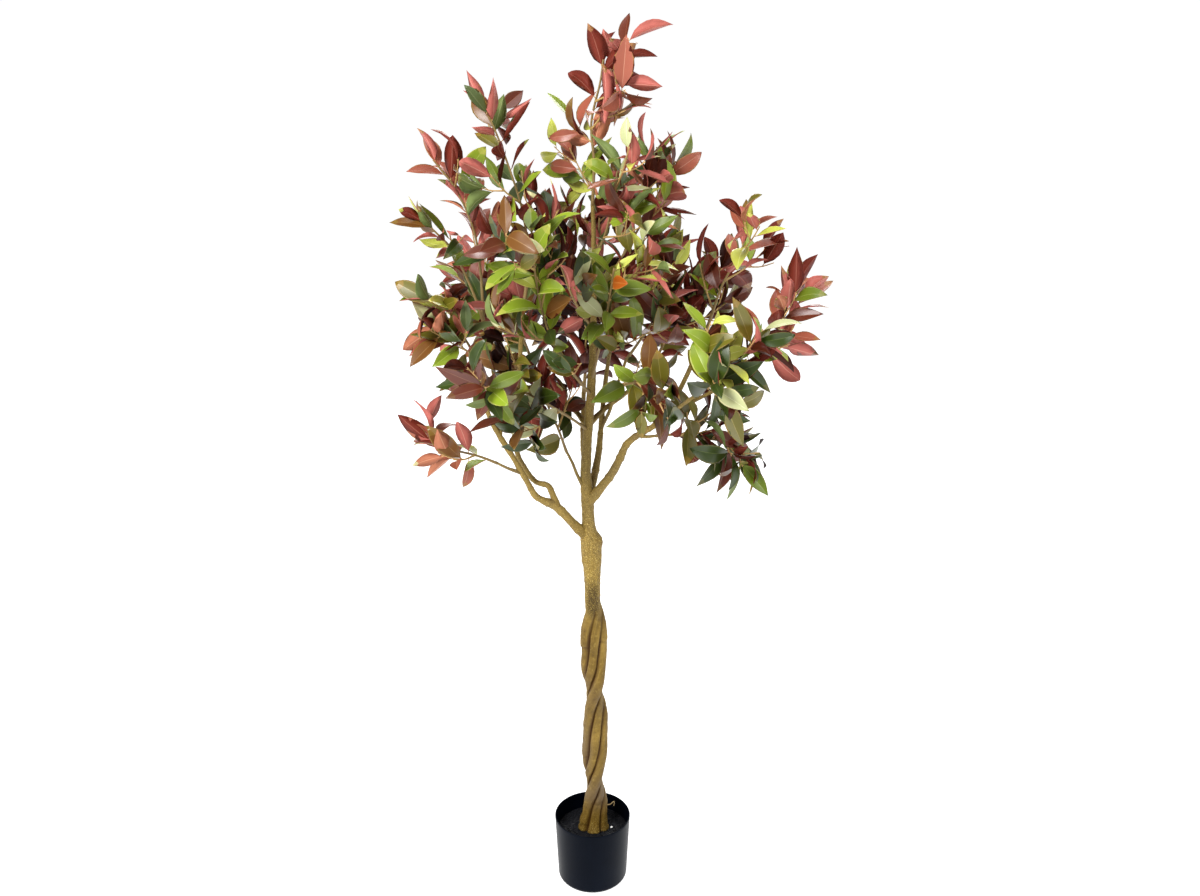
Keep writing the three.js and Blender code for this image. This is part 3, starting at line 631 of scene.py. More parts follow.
def bark_finish():
    """Cast bark: olive ochre with slow drifts, fibre streaks, mottling, and pale and dark granules.

    The points' own numbers say where it takes painted shade in its creases, below the sleeves and at the
    boughs' roots, where it is granular, peppered with dark grains, worn to a grey or pale; the pale spot at
    the fork is a painted highlight. It is paler among the boughs and browner at the foot.
    """
    finish = Finish("bark", base_color=tint("62491a"), roughness=0.72, specular_ior_level=0.24)
    place = finish.node("TexCoord", {}, {}, out="Object")
    fibre = finish.node("Attribute", {"attribute_name": "fibre"}, {}, out="Vector")
    by = {field: finish.node("Attribute", {"attribute_name": field}, {}, out="Fac") for field in BARK_FIELDS}
    by |= {name: finish.noise(place, *settings) for name, settings in BARK_NOISES.items()}
    by["streaks"] = finish.noise(fibre, 200, 3)
    by["streaky"] = 0.45 + by["streaks"] * 0.6
    by["height"] = finish.node("SeparateXYZ", {}, {0: place}, out=2)
    tone = finish.mix(finish.steps(by["drift"], 0.35, 0.66), tint("5b4511"), tint("70571d"))
    for source, span, thinned_by, share, code in BARK_LAYERS:
        amount = finish.steps(by[source], *span) if span else by[source]
        if thinned_by:
            amount = amount * by[thinned_by]
        tone = finish.mix(amount * share, tone, tint(code))
    finish.feed(base_color=tone, roughness=0.48 + by["granules"] * 0.22)
    relief = by["streaks"] * 0.3 + by["mottle"] * 0.5 + by["granules"] * (0.35 + by["rough"])
    finish.bump(relief, 0.0014, 0.8)
    return finish.material


# Colours of the leaves' upper sides as blade, rib and margin, and of their undersides as blade and rib
TOPS = {
    "lime": ("adb34a", "c9cc7a", "bfb956"),
    # pale is a whitish green that paints the sheen of glossy leaves
    "pale": ("abaf7d", "c3c59a", "bab482"),
    "fresh": ("7d9122", "9cab4e", "9ca040"),
    "mid": ("586815", "76813a", "6e702c"),
    "forest": ("2d3c0b", "4c5a26", "504e1e"),
    "dusty": ("4b5830", "727a52", "656a3c"),
    "olive": ("605a16", "827638", "7d6422"),
    "bronze": ("684218", "86643a", "755822"),
    "amber": ("9a4c14", "b87a3a", "ab6620"),
    "ruby": ("924e3a", "ad765f", "8e6034"),
    "wine": ("5a2614", "784a34", "644020"),
}
UNDERS = {
    # rose is partly the leaves' own colour and partly painted light
    "rose_and_light": ("a85c52", "c28476"),
    "salmon": ("a96a4f", "c28c6e"),
    "burgundy": ("67271b", "854c3e"),
    # maroon and plum are partly the leaves' own dark red and partly painted shade
    "maroon_and_shade": ("3f1509", "5c2c1c"),
    "plum_and_shade": ("200804", "391811"),
    "sage": ("667440", "8a9462"),
}
TOP_GLOSS = {"roughness": 0.34, "specular_ior_level": 0.42}
UNDER_GLOSS = {"roughness": 0.5, "specular_ior_level": 0.12}
# Which side of its leaves a mass turns outwards, how readily each colour is drawn, and the masses that do so
DEALS = {
    # Outer sprays: lighter undersides, partly their own rose and partly painted light
    "rose_and_light": {
        "shows": "unders",
        "tops": {"ruby": 5, "wine": 2, "fresh": 1.4, "mid": 0.8, "lime": 1.2, "pale": 0.6, "olive": 1,
                 "bronze": 1.5},
        "unders": {"rose_and_light": 6, "salmon": 2, "burgundy": 3},
        "masses": ("top", "left_high", "low_left", "right_high", "right_far"),
    },
    "mixed": {
        "shows": "both",
        "tops": {"ruby": 2, "wine": 1.4, "fresh": 2.2, "mid": 1.4, "lime": 1.8, "pale": 1.2, "dusty": 0.6,
                 "olive": 2.4, "forest": 0.8, "bronze": 1.6},
        "unders": {"rose_and_light": 5.5, "burgundy": 3, "maroon_and_shade": 1, "sage": 1.6, "salmon": 1.2},
        "masses": ("upper_left", "upper_right", "left_far", "centre_top", "centre_right", "left_mid",
                   "back_left", "back_high"),
    },
    # The crown's inside: darker colours, partly the leaves' own and partly painted shade
    "maroon_and_shade": {
        "shows": "unders",
        "tops": {"wine": 4, "ruby": 1, "forest": 2.8, "mid": 0.8, "dusty": 0.4, "bronze": 1.2, "olive": 1.2,
                 "amber": 0.4},
        "unders": {"maroon_and_shade": 4, "burgundy": 3.5, "rose_and_light": 1, "plum_and_shade": 4},
        "masses": ("low_centre", "centre_left", "mid_right"),
    },
    "lime": {
        "shows": "tops",
        "tops": {"lime": 4.5, "pale": 3, "fresh": 2.4, "mid": 1.2, "forest": 1.6, "olive": 1.4, "bronze": 0.8,
                 "wine": 0.8, "amber": 0.3},
        "unders": {"burgundy": 4, "rose_and_light": 2, "sage": 1.5},
        "masses": ("front_centre",),
    },
    "fresh": {
        "shows": "tops",
        "tops": {"fresh": 1.5, "mid": 1.4, "lime": 1.2, "pale": 1.2, "forest": 2.8, "olive": 2, "bronze": 1.4,
                 "wine": 1.6, "ruby": 0.6},
        "unders": {"burgundy": 3, "maroon_and_shade": 3, "sage": 0.6, "rose_and_light": 1.4},
        "masses": ("front_left", "right_front", "back_right"),
    },
    "forest": {
        "shows": "tops",
        "tops": {"forest": 3.2, "mid": 1.2, "fresh": 0.8, "pale": 0.5, "dusty": 0.3, "olive": 2.2,
                 "bronze": 1.2, "wine": 2.2},
        "unders": {"maroon_and_shade": 3, "burgundy": 3, "plum_and_shade": 2, "sage": 0.6},
        "masses": ("front_low_left", "front_low_right", "low_right", "back"),
    },
}
# Shares of the leaves that draw a colour of their own, and that have a tip of the margin's colour
OWN_COLOUR = 0.55
TIPPED = 0.35
STALKS = {"stem": "7a6436", "shoot": "a6874e", "tip": "bc975e"}


def leaf_finishes():
    """Plain materials: blade, rib and margin of each upper side, blade and rib of each underside, stalk."""
    made = []
    for colour, codes in TOPS.items():
        for part, code in zip(("blade", "rib", "margin"), codes):
            made.append(Finish(f"leaf_{colour}_{part}", base_color=tint(code), **TOP_GLOSS))
    for colour, codes in UNDERS.items():
        for part, code in zip(("blade", "rib"), codes):
            made.append(Finish(f"underleaf_{colour}_{part}", base_color=tint(code), **UNDER_GLOSS))
    made.append(Finish("leaf_stalk", base_color=tint(STALKS["tip"]), roughness=0.6))
    return [finish.material for finish in made]


# Pot and filling

def arc(x, z, radius, start, end, number):
    """Points of an arc about (x, z), from one angle to another in degrees."""
    turn = np.radians(np.linspace(start, end, number))
    return [(x + radius * math.cos(t), z + radius * math.sin(t)) for t in turn]


def turned(profile, columns):
    """Rings of a profile of (radius, height) points turned about Z."""
    profile = np.asarray(profile, float)
    turn = 2 * np.pi * np.arange(columns) / columns
    radius, height = profile[:, :1], profile[:, 1:]
    return np.stack([radius * np.cos(turn), radius * np.sin(turn), height + 0 * turn], axis=-1)


def pot_radius(height):
    """Outer radius of the pot's straight wall."""
    slope = (POT["rim"] - POT["foot"]) / (POT["height"] - POT["corner"])
    return POT["foot"] + slope * (height - POT["corner"])


def add_pot():
    """Thin tapering wall with a round lip, a rounded bottom corner and a flat foot."""
    lip = POT["wall"] / 2
    flat = POT["foot"] - POT["corner"]
    inner = POT["corner"] - POT["wall"]
    wall = [(pot_radius(h), h) for h in np.linspace(POT["corner"], POT["height"] - lip, STEPS["wall"])[1:-1]]
    inside = [(r - POT["wall"], h) for r, h in reversed(wall)]
    profile = [
        (flat / 2, 0), *arc(flat, POT["corner"], POT["corner"], -90, 0, STEPS["corner"]), *wall,
        *arc(POT["rim"] - lip, POT["height"] - lip, lip, 0, 180, STEPS["lip"]), *inside,
        *arc(flat, POT["floor"] + inner, inner, 0, -90, STEPS["inner"]), (flat / 2, POT["floor"]),
    ]
    points, faces = closed_skin(turned(profile, POT["columns"]))
    add_piece("pot_shell", points, faces, [pot_finish()], ["pot"])


def fill_height(radius):
    """Height of the filling: flat in the middle, falling a little towards the wall."""
    edge = pot_radius(FILL["top"]) - POT["wall"]
    return FILL["top"] - FILL["gap"] - FILL["edge_drop"] * smooth(radius, FILL["flat"], edge)


def add_fill():
    """Filling: a turned body whose top is roughened by two sizes of noise."""
    edge = pot_radius(FILL["top"] - FILL["edge_drop"]) - POT["wall"] - FILL["gap"]
    flat = POT["foot"] - POT["corner"]
    inner = POT["corner"] - POT["wall"] - FILL["gap"]
    floor = POT["floor"] + FILL["gap"]
    radius = np.arange(edge - FILL["first_ring"], FILL["last_ring"], -GRIT["row"])
    under = [(flat / 2, floor), *arc(flat, floor + inner, inner, -90, 0, STEPS["bed"])]
    rings = turned([*under, *np.stack([radius, fill_height(radius)], axis=1)], GRIT["columns"])
    top = rings[len(under):]
    lumps = grains(top * [1, 1, 0], FILL_LUMPS)
    top[..., 2] += lumps * smooth(edge - radius, 0, FILL["level_edge"])[:, None]
    points, faces = closed_skin(rings)
    return add_piece("fill_bed", points, faces, [fill_finish()], ["pot_fill"])


def ball():
    """Corners and faces of an icosahedron of radius 1."""
    gold = (1 + 5 ** 0.5) / 2
    signs = np.array([(a, b) for a in (-1, 1) for b in (-gold, gold)], float)
    flat = np.insert(signs, 0, 0, axis=1)
    corners = unit(np.vstack([flat, np.roll(flat, 1, axis=1), np.roll(flat, 2, axis=1)]))
    gaps = np.linalg.norm(corners[:, None] - corners[None], axis=-1)
    # An edge is 1.05 long, and corners that share no edge are at least 1.7 apart
    near = (gaps > 0.1) & (gaps < 1.2)
    faces = []
    for a, b, c in combinations(range(len(corners)), 3):
        if near[a, b] and near[b, c] and near[a, c]:
            out = np.cross(corners[b] - corners[a], corners[c] - corners[a]) @ corners[a] > 0
            faces.append((a, b, c) if out else (a, c, b))
    return corners, np.array(faces)


def add_pebbles(grit):
    """Loose grit: squashed balls laid by the golden angle, each at its own size, turn and tone."""
    corners, faces = ball()
    number = np.arange(GRIT["pebbles"])
    edge = pot_radius(FILL["top"]) - POT["wall"] - GRIT["inset"]
    radius = edge * np.sqrt((number + 0.5) / len(number)) + GRIT["stray"] * (chance(1, number) - 0.5)
    turn = number * math.radians(GROWTH["golden_turn"]) + GRIT["stray_turn"] * chance(2, number)
    size = GRIT["least"] + (GRIT["most"] - GRIT["least"]) * chance(3, number) ** 2
    height = fill_height(radius) + GRIT["raised"] * size
    middle = np.stack([radius * np.cos(turn), radius * np.sin(turn), height], axis=1)
    spin = 2 * np.pi * chance(4, number)
    drawn = np.stack([chance(5, number), chance(6, number), GRIT["flat"] * chance(7, number)], axis=1)
    stretch = GRIT["narrow"] + GRIT["stretch"] * drawn
    dents = 1 + GRIT["dent"] * np.sin(GRIT["dents"] * corners[None, :, :1] + number[:, None, None])
    shape = spun(corners[None] * stretch[:, None] * dents, spin[:, None])
    points = middle[:, None] + size[:, None, None] * shape
    rows = (faces[None] + len(corners) * number[:, None, None]).reshape(-1, 3)
    add_piece("fill_grit", points.reshape(-1, 3), rows.tolist(), [grit])


def add_chip():
    """One white chip in the grit, right of the foot."""
    corners, faces = ball()
    dents = 1 + CHIP["dent"] * np.sin(CHIP["dents"] * corners[:, :1] + 1)
    points = spun(corners * CHIP["half"] * dents, math.radians(CHIP["turn"])) + CHIP["at"]
    pale = Finish("white_chip", base_color=tint("f4f4f0"), roughness=0.5).material
    add_piece("white_chip", points, faces.tolist(), [pale])


def add_rootlet():
    """A thin pale rootlet that leaves the foot sideways, kinks up and bends over."""
    rings, _ = limb_skin(Path(ROOTLET), ROOTLET_RADII, ROOTLET_GRID)
    points, faces = closed_skin(rings)
    pale = Finish("rootlet", base_color=tint("84704a"), roughness=0.7).material
    add_piece("wiry_rootlet", points, faces, [pale])


# Trunk and boughs

def twist_at(height):
    """Turn of the braid at a height, in radians: slow at the bulges and fast between them."""
    turns = 2 * np.pi * (np.minimum(height, BRAID["top"]) - BRAID["bulge_height"]) / BRAID["pitch"]
    return turns - BRAID["slack"] * np.sin(2 * turns) / 2


def strands(turn):
    """Strand that holds each turn in degrees, how far the turn lies across it (-1 to 1), and its width."""
    widths = np.array([BRAID["narrow"], BRAID["wide"]] * 2)
    edges = np.cumsum(widths) - BRAID["narrow"] / 2
    shifted = (turn + BRAID["narrow"] / 2) % 360 - BRAID["narrow"] / 2
    number = np.minimum(np.searchsorted(edges, shifted, side="right"), 3)
    across = 1 - 2 * (edges[number] - shifted) / widths[number]
    return number, across, widths[number]


def trunk_radius(height, turn, across, heading):
    """Trunk radius on a grid of heights and turns.

    The braid's section is an oval, widest through the wide strands, whose strands are rounded. It flares at
    the foot and fades to a plain round above its top. A knob stands out where the boughs start.
    """
    in_braid = 1 - smooth(height, BRAID["top"] - BRAID["fade"], BRAID["top"] + BRAID["fade"])
    foot = np.exp((TRUNK[0, 0] - height) / FLARE["height"])
    bundle = np.interp(height, TRUNK[:, 0], TRUNK[:, 2])
    bundle = bundle - in_braid * BRAID["oval"] * np.cos(2 * turn) + foot * FLARE["radius"]
    hollow = 1 - np.sqrt(1 - (BRAID["roundness"] * across) ** 2)
    groove = in_braid * BRAID["groove"] * (1 + foot * FLARE["toes"]) * hollow
    rise = (height - KNOB["height"]) / KNOB["tall"]
    facing = np.maximum(0, np.cos(heading - math.radians(KNOB["heading"])))
    knob = KNOB["out"] * np.exp(-rise * rise) * facing ** 2
    return bundle * (1 - groove) + knob


def spots(places, height, heading):
    """Sum of soft spots: a bell over the height times a rise to 1 where the bark faces the spot's heading."""
    total = 0
    for middle, facing, reach, strength in places:
        close = np.exp(-((height - middle) / reach) ** 2)
        total = total + strength * close * smooth(np.cos(heading - math.radians(facing)), *SPOT_EDGES)
    return np.clip(total, 0, 1)


def add_trunk(finish):
    """Trunk: the radius above, with creases between the strands, sleeves on them, lumps and fine granules."""
    height = np.append(np.arange(TRUNK[0, 0], TRUNK[-1, 0], TRUNK_GRID["row"]), TRUNK[-1, 0])[:, None]
    turn = 360 * np.arange(TRUNK_GRID["columns"])[None] / TRUNK_GRID["columns"]
    strand, across, width = strands(turn)
    turn = np.radians(turn)
    heading = turn + twist_at(height) - np.pi / 2
    radius = trunk_radius(height, turn, across, heading)
    place = np.stack([radius * np.cos(turn), radius * np.sin(turn), 0 * turn + height], axis=-1)
    below, above = CREASE["ends"]
    in_braid = 1 - smooth(height, BRAID["top"] + below, BRAID["top"] + above + 0 * turn)
    from_edge = (1 - np.abs(across)) * width / 2
    depth = CREASE["least"] + CREASE["varies"] * grain(place, CREASE["cell"], CREASE["seed"])
    crease = np.exp(-(from_edge / CREASE["width"]) ** 2) * in_braid * depth
    sleeves = 0
    shade = 0
    for number, start, out, melt in SLEEVES:
        ragged = start + SLEEVE["ragged"] * np.sin(SLEEVE["waves"] * across + number)
        on = strand == number
        rise = smooth(height, ragged, ragged + SLEEVE["edge"])
        rise = rise * (1 - smooth(height, start + SLEEVE["holds"], start + melt))
        sleeves = sleeves + out * rise * on * (1 - across ** 4)
        band = np.exp(-((height - ragged + SLEEVE["shade_below"]) / SLEEVE["shade_half"]) ** 2)
        shade = shade + SLEEVE["shade"] * band * on * min(1, out / 2)
    swing = 2 * np.pi * height / STRAND_SWAY["pitch"] + STRAND_SWAY["shift"] * strand
    sway = STRAND_SWAY["out"] * np.sin(swing) * in_braid
    wavy = ROUGH["wavy"] * np.abs(np.sin(heading / 2 + np.pi / 4))
    rough = smooth(height, ROUGH["low"] + wavy, ROUGH["full"])
    rough = rough + ROUGH["foot"] * (1 - smooth(height, ROUGH["foot_full"], ROUGH["foot_gone"]))
    lumps = grains(place, BARK_LUMPS)
    fibres = grains(place, BARK_FIBRES) * (1 - rough)
    granules = grains(place, BARK_GRANULES) * rough
    slender = np.minimum(1, radius / BARK_SLENDER)
    overlap = CREASE["overlap"] * across ** 3 * in_braid
    radius = radius - CREASE["depth"] * crease + overlap + sleeves + sway
    radius = radius + slender * (lumps + fibres + granules)
    rings = np.stack([
        trunk_sway(height) + radius * np.cos(heading), radius * np.sin(heading), height + 0 * turn,
    ], axis=-1)
    worn, pale = spots(WORN, height, heading), spots(PALE_AND_HIGHLIGHT, height, heading)
    half_front = math.cos(math.radians(PEPPER["half_turn"]))
    front = smooth(np.cos(heading + np.pi / 2), half_front - PEPPER["soft"], 1)
    pepper = front * smooth(height, PEPPER["low"], PEPPER["full"])
    pepper = pepper * (1 - smooth(height, PEPPER["fades"], PEPPER["gone"]))
    # Painted shade, carried as hollow: dark in the creases and in a band below each sleeve's edge
    hollow = np.clip(CREASE["dark"] * crease ** CREASE["painted_shade_power"] + shade, 0, CREASE["painted_shade_limit"])
    grainy = rough * (1 - ROUGH["thin"] * smooth(height, *ROUGH["thins"]))
    points, faces = closed_skin(rings)
    add_piece("trunk_bark", points, faces, [finish], ["trunk"], fields={
        "fibre": with_ends(place * [1, 1, FIBRE_SQUASH["trunk"]]) * MM, "hollow": with_ends(hollow),
        "rough": with_ends(grainy), "pepper": with_ends(pepper), "worn": with_ends(worn),
        "pale": with_ends(pale),
    })


def limb_skin(path, radii, grid, seed=0, lumps=0.0, flare=0.0, knots=0.0):
    """Rings of a limb, circles carried along its path, and each point's place about a straight axis.

    The radius follows the list at even steps, swells towards the root by the flare and in narrow rings by
    the knots, and takes lumps of noise.
    """
    rows = max(3, round(path.length() / grid["row"]) + 1)
    share = np.linspace(0, 1, rows)
    along = path.along(share)
    ends = unit(path.at(1) - path.at(0))[0]
    guide = np.eye(3)[np.argmin(np.abs(ends))]
    across = unit(guide - along * (along @ guide)[:, None])
    over = np.cross(along, across)
    turn = 2 * np.pi * np.arange(grid["sides"]) / grid["sides"]
    out = across[:, None] * np.cos(turn)[:, None] + over[:, None] * np.sin(turn)[:, None]
    distance = share * path.length()
    radius = np.interp(share, np.linspace(0, 1, len(radii)), radii)
    ring = np.maximum(0, np.cos(2 * np.pi * distance / LIMB["knot_spacing"] + seed)) ** LIMB["knot_power"]
    radius = radius * (1 + flare * np.exp(-distance / LIMB["flare_reach"]) + knots * ring)
    radius = radius[:, None] + 0 * turn
    place = np.stack([radius * np.cos(turn), radius * np.sin(turn), distance[:, None] + 0 * turn], axis=-1)
    if lumps:
        radius = radius + lumps * np.minimum(1, radius / LIMB["slender"]) * grains(place, LIMB_LUMPS, seed)
    return path.at(share)[:, None] + radius[..., None] * out, place


def add_boughs(paths, finish):
    """Every bough as a skin with lumps and knots, painted shade at its root, and drifts of worn and pale
    bark.
    """
    for number, (name, bough) in enumerate(BOUGHS.items()):
        seed = BOUGH_SEEDS["skin"] + BOUGH_SEEDS["skin_step"] * number
        rings, place = limb_skin(paths[name], bough.radii, BOUGH_GRID, seed, **BOUGH_SKIN)
        points, faces = closed_skin(rings)
        # Painted shade at the bough's root, where it meets its parent, carried as hollow
        hollow = with_ends(BOUGH_BARK["dark"] * np.exp(-place[..., 2] / BOUGH_BARK["painted_shade_reach"]))
        squashed = place * [1, 1, BOUGH_BARK["drift_squash"]]
        drift = with_ends(grain(squashed, BOUGH_BARK["drift"], BOUGH_SEEDS["drift"] + number))
        add_piece(f"{name}_bark", points, faces, [finish], [name], fields={
            "fibre": with_ends(place * [1, 1, FIBRE_SQUASH["bough"]]) * MM, "hollow": hollow,
            "rough": BOUGH_BARK["rough"] + 0 * hollow, "pepper": 0 * hollow,
            "worn": np.clip(-drift, *BOUGH_BARK["worn"]), "pale": np.clip(drift, *BOUGH_BARK["pale"]),
        })


# Growth of the masses

Leaves = namedtuple("Leaves", "root head face size spray share")


def short_name(name):
    """A mass's name without the word leaves."""
    return name.removeprefix("leaves_")


def dealt_as(short):
    """The deal of colours that a mass takes part in."""
    return next(deal for deal in DEALS.values() if short in deal["masses"])


def sideways(along, turn):
    """Unit vector square to a direction, at a turn about it."""
    guide = np.array([1.0, 0, 0]) if abs(along[2]) > 0.97 else np.array([0, 0, 1.0])
    across = unit(np.cross(along, guide))
    turn = math.radians(turn)
    return across * math.cos(turn) + np.cross(across, along) * math.sin(turn)


def leaning(along, out, lean):
    """Direction of a leaf or shoot that leans away from its parent, and the direction that its top faces."""
    return along * math.cos(lean) + out * math.sin(lean), along * math.sin(lean) - out * math.cos(lean)


# Points of a leaf that are tested against its neighbours, as shares of its length and half width
PROBES = np.array([
    (0.3, 0), (0.5, 0), (0.7, 0), (0.85, 0), (1, 0), (0.3, 0.75), (0.5, 0.9), (0.7, 0.7),
    (0.3, -0.75), (0.5, -0.9), (0.7, -0.7),
])


class Grower:
    """Grows the masses by one seeded rule, each in its own space and clear of the limbs."""

    def __init__(self, paths):
        self.paths = paths
        self.sites = {name: paths[name].at(np.array(SPACE["shares"])) for name in MASSES}
        height, sway, radii = TRUNK[-TRUNK_IN_CROWN:].T
        self.limbs = {"trunk": self.beads(Path(np.stack([sway, 0 * height, height], axis=1)), radii)}
        for name, bough in BOUGHS.items():
            self.limbs[name] = self.beads(paths[name], bough.radii)
        for name in MASSES:
            self.limbs[name] = self.beads(paths[name], (STEM["middle"], STEM["middle"]))

    @staticmethod
    def beads(path, radii):
        """Points along a limb at even steps, each with the limb's radius as a fourth number."""
        share = np.linspace(0, 1, int(path.length() / BEAD_STEP))
        return np.column_stack([path.at(share), np.interp(share, np.linspace(0, 1, len(radii)), radii)])

    def start(self, name):
        """Sets out a mass: its limits, its habits, its own and the others' space, and the limbs near it."""
        short = short_name(name)
        self.name = name
        self.low = np.array(cad_box[0]) / MM - LEAF["beyond"]
        self.high = np.array(cad_box[1]) / MM + LEAF["beyond"]
        self.low[2] = KEEPS_ABOVE.get(short, self.low[2])
        self.high[0] = KEEPS_LEFT_OF.get(short, self.high[0])
        self.open = short in OPEN
        habit = "open_" if self.open else "inner_" if short in INNER else ""
        self.internode = GROWTH[f"{habit}internode"]
        self.bare = GROWTH["leafy_bare" if short in LEAFY_STEMS else "stem_bare"]
        self.droop = np.array([0, 0, DROOP.get(short, 0)])
        self.shows = dealt_as(short)["shows"]
        self.tip_angle = ROSETTE_ANGLE if short in ROSETTES else LEAF["tip_angle"]
        self.own = self.sites[name]
        self.other = np.vstack([sites for key, sites in self.sites.items() if key != name])
        self.near = np.vstack([beads for key, beads in self.limbs.items() if key != name])
        self.taken = np.zeros((0, 3))
        self.found = []

    def in_space(self, points):
        """True where all points are nearer to the mass's own stem than to any other."""
        own = np.linalg.norm(points[:, None] - self.own, axis=2).min(axis=1)
        other = np.linalg.norm(points[:, None] - self.other, axis=2).min(axis=1)
        return np.all(own + SPACE["margin"] < other)

    def clear(self, points, gap):
        """True where all points are further than the gap from every other limb."""
        distance = np.linalg.norm(points[:, None] - self.near[:, :3], axis=2) - self.near[:, 3]
        return distance.min() > gap

    def turned_out(self, root, head, face, drawn, spray):
        """The way a leaf faces once it has turned about its length, to show one side outwards.

        In a mass that shows both sides, every other spray shows its tops.
        """
        outward = unit(np.array([root[0], root[1], 0]) + OUTLOOK)
        tops = self.shows == "tops" or self.shows == "both" and spray % 2 == 0
        target = outward if tops else -outward
        target = target - head * (target @ head)
        angle = math.atan2(np.cross(face, target) @ head, face @ target)
        angle *= LEAF["turn_share"]
        most = math.radians(LEAF["turn_most"])
        angle = max(-most, min(most, angle)) + math.radians(LEAF["turn_spread"]) * drawn
        return face * math.cos(angle) + np.cross(head, face) * math.sin(angle)

    def place_leaves(self, path, first, spray, number=None):
        """Leaves along a twig, each turned by the golden angle from the last and leaning less near the tip.

        A leaf that doesn't fit is turned on and tried again, and left out after the last try.
        """
        mass = MASSES[self.name]
        number = number or round(path.length() * (1 - first) / self.internode)
        for leaf in range(number):
            share = (leaf + 0.5 + leaf / number) / (number + 1)
            place = min(first + (1 - first) * share, GROWTH["last_leaf"])
            root, along = path.at(place)[0], path.along(place)[0]
            in_row = DRAWS["per_spray"] * spray + leaf
            for_size, for_turn, for_lean = (
                chance(mass.seed + shift, in_row) - 0.5 for shift in DRAWS["shifts"]
            )
            lean = LEAF["open_angle"] + (self.tip_angle - LEAF["open_angle"]) * share ** 2
            lean = math.radians(lean + LEAF["lean_spread"] * for_lean)
            size = LEAF["length"] * (1 + LEAF["spread"] * for_size) * (1 - LEAF["tip_shrink"] * share ** 4)
            for attempt in range(GROWTH["tries"]):
                turn = mass.spin + GROWTH["spray_turn"] * spray + GROWTH["golden_turn"] * leaf
                head, face = leaning(along, sideways(along, turn + GROWTH["leaf_retry_turn"] * attempt), lean)
                head = unit(head - self.droop)
                face = self.turned_out(root, head, unit(face - head * (face @ head)), for_turn, spray)
                across = np.cross(face, head) * LEAF["width"] / 2
                points = root + size * (PROBES[:, :1] * head + PROBES[:, 1:] * across)
                if not self.in_space(points) or not self.clear(points, LEAF["clear"]):
                    continue
                if np.any(points < self.low) or np.any(points > self.high):
                    continue
                if len(self.taken):
                    if np.linalg.norm(points[:, None] - self.taken, axis=2).min() < LEAF["apart"]:
                        continue
                self.taken = np.vstack([self.taken, points])
                self.found.append((root, head, face, size, spray, share))
                break

    def grow(self, name):
        """Leaves and twigs of one mass: side shoots that lift, finer twigs on them, and the stem's leaves."""
        self.start(name)
        mass, stem, twigs = MASSES[name], self.paths[name], []
        for shoot in range(mass.shoots):
            share = (shoot + GROWTH["shoot_offset"]) / mass.shoots
            place = GROWTH["first_shoot"] + (GROWTH["last_shoot"] - GROWTH["first_shoot"]) * share
            root, along = stem.at(place)[0], stem.along(place)[0]
            drawn = chance(mass.seed, DRAWS["shoot_lengths"] + shoot) - 0.5
            leg = mass.reach * (1 + GROWTH["length_spread"] * drawn) / GROWTH["shoot_legs"]
            for attempt in range(GROWTH["tries"]):
                turn = mass.spin + GROWTH["golden_turn"] * shoot + GROWTH["shoot_retry_turn"] * attempt
                head = leaning(along, sideways(along, turn), math.radians(GROWTH["divergence"]))[0]
                points = [root]
                for _ in range(GROWTH["shoot_legs"]):
                    points.append(points[-1] + leg * head)
                    head = unit(head + [0, 0, GROWTH["lift"]])
                path = Path(points)
                if not self.in_space(path.at(TESTED["space"])):
                    continue
                if not self.clear(path.at(TESTED["limbs"]), LEAF["twig_clear"]):
                    continue
                twigs.append((path, SHOOT))
                spray = sum(kind is SHOOT for _, kind in twigs)
                self.place_leaves(path, GROWTH["first_leaf"], spray)
                self.grow_fine(path, spray, twigs)
                break
        self.place_leaves(stem, self.bare, 0)
        return Leaves(*(np.array(column) for column in zip(*self.found))), twigs

    def grow_fine(self, shoot, spray, twigs):
        """Short twigs on a shoot, each with a few leaves: one in an open mass, and three in any other."""
        mass = MASSES[self.name]
        places = FINE["places"][1:2] if self.open else FINE["places"]
        for number, place in enumerate(places):
            root, along = shoot.at(place)[0], shoot.along(place)[0]
            turn = mass.spin + GROWTH["spray_turn"] * spray + FINE["turn"] + FINE["turn_step"] * number
            head = leaning(along, sideways(along, turn), math.radians(FINE["lean"]))[0]
            bend = root + FINE["legs"][0] * head
            path = Path([root, bend, bend + FINE["legs"][1] * (head + [0, 0, GROWTH["lift"]])])
            if self.in_space(path.at(TESTED["space"])):
                twigs.append((path, FINE))
                fine_spray = FINE["first_spray"] + FINE["sprays"] * spray + number
                self.place_leaves(path, FINE["first_leaf"], fine_spray, FINE["leaves"])


# Leaf pattern: stations along the blade and columns from rib to margin on both sides
LEAF_ROWS = 8
COLUMNS = np.array([-1, -0.86, -0.035, 0.035, 0.86, 1])
COLUMN_PARTS = (2, 0, 1, 0, 2)
# The blade's last two rows of faces on its upper side, by number
TIP_FACES = (len(COLUMN_PARTS) * (LEAF_ROWS - 2), len(COLUMN_PARTS) * LEAF_ROWS)
BLADE = {
    "petiole": 6, "stalk": 0.9, "overlap": 1.5, "sweep": 0.1, "puff": 0.35, "thick": 0.5, "rib_under": 0.7,
    "rib_half": 0.05, "blunt": 0.02, "least_bend": 0.02, "twist": 0.5,
}
WAVE = {"high": 1.6, "middle": 0.3, "ripples": 1.6, "slant": 0.25}
# Measures that differ from leaf to leaf: the least of each, and the most that is added
VARIES = {
    "width": (0.9, 0.22), "low": (0.8, 0.3), "high": (0.92, 0.45), "fold": (8, 20), "bend": (-0.35, 1.5),
}
# Added to a mass's seed for each draw of its leaves, and the row that each starts at
LEAF_DRAWS = {
    "shape": 0.37, "per_leaf": 50, "own": 0.5, "own_colour": 0.7, "tipped": 0.9, "under_tipped": 0.3,
    "tops": 700, "unders": 800,
}


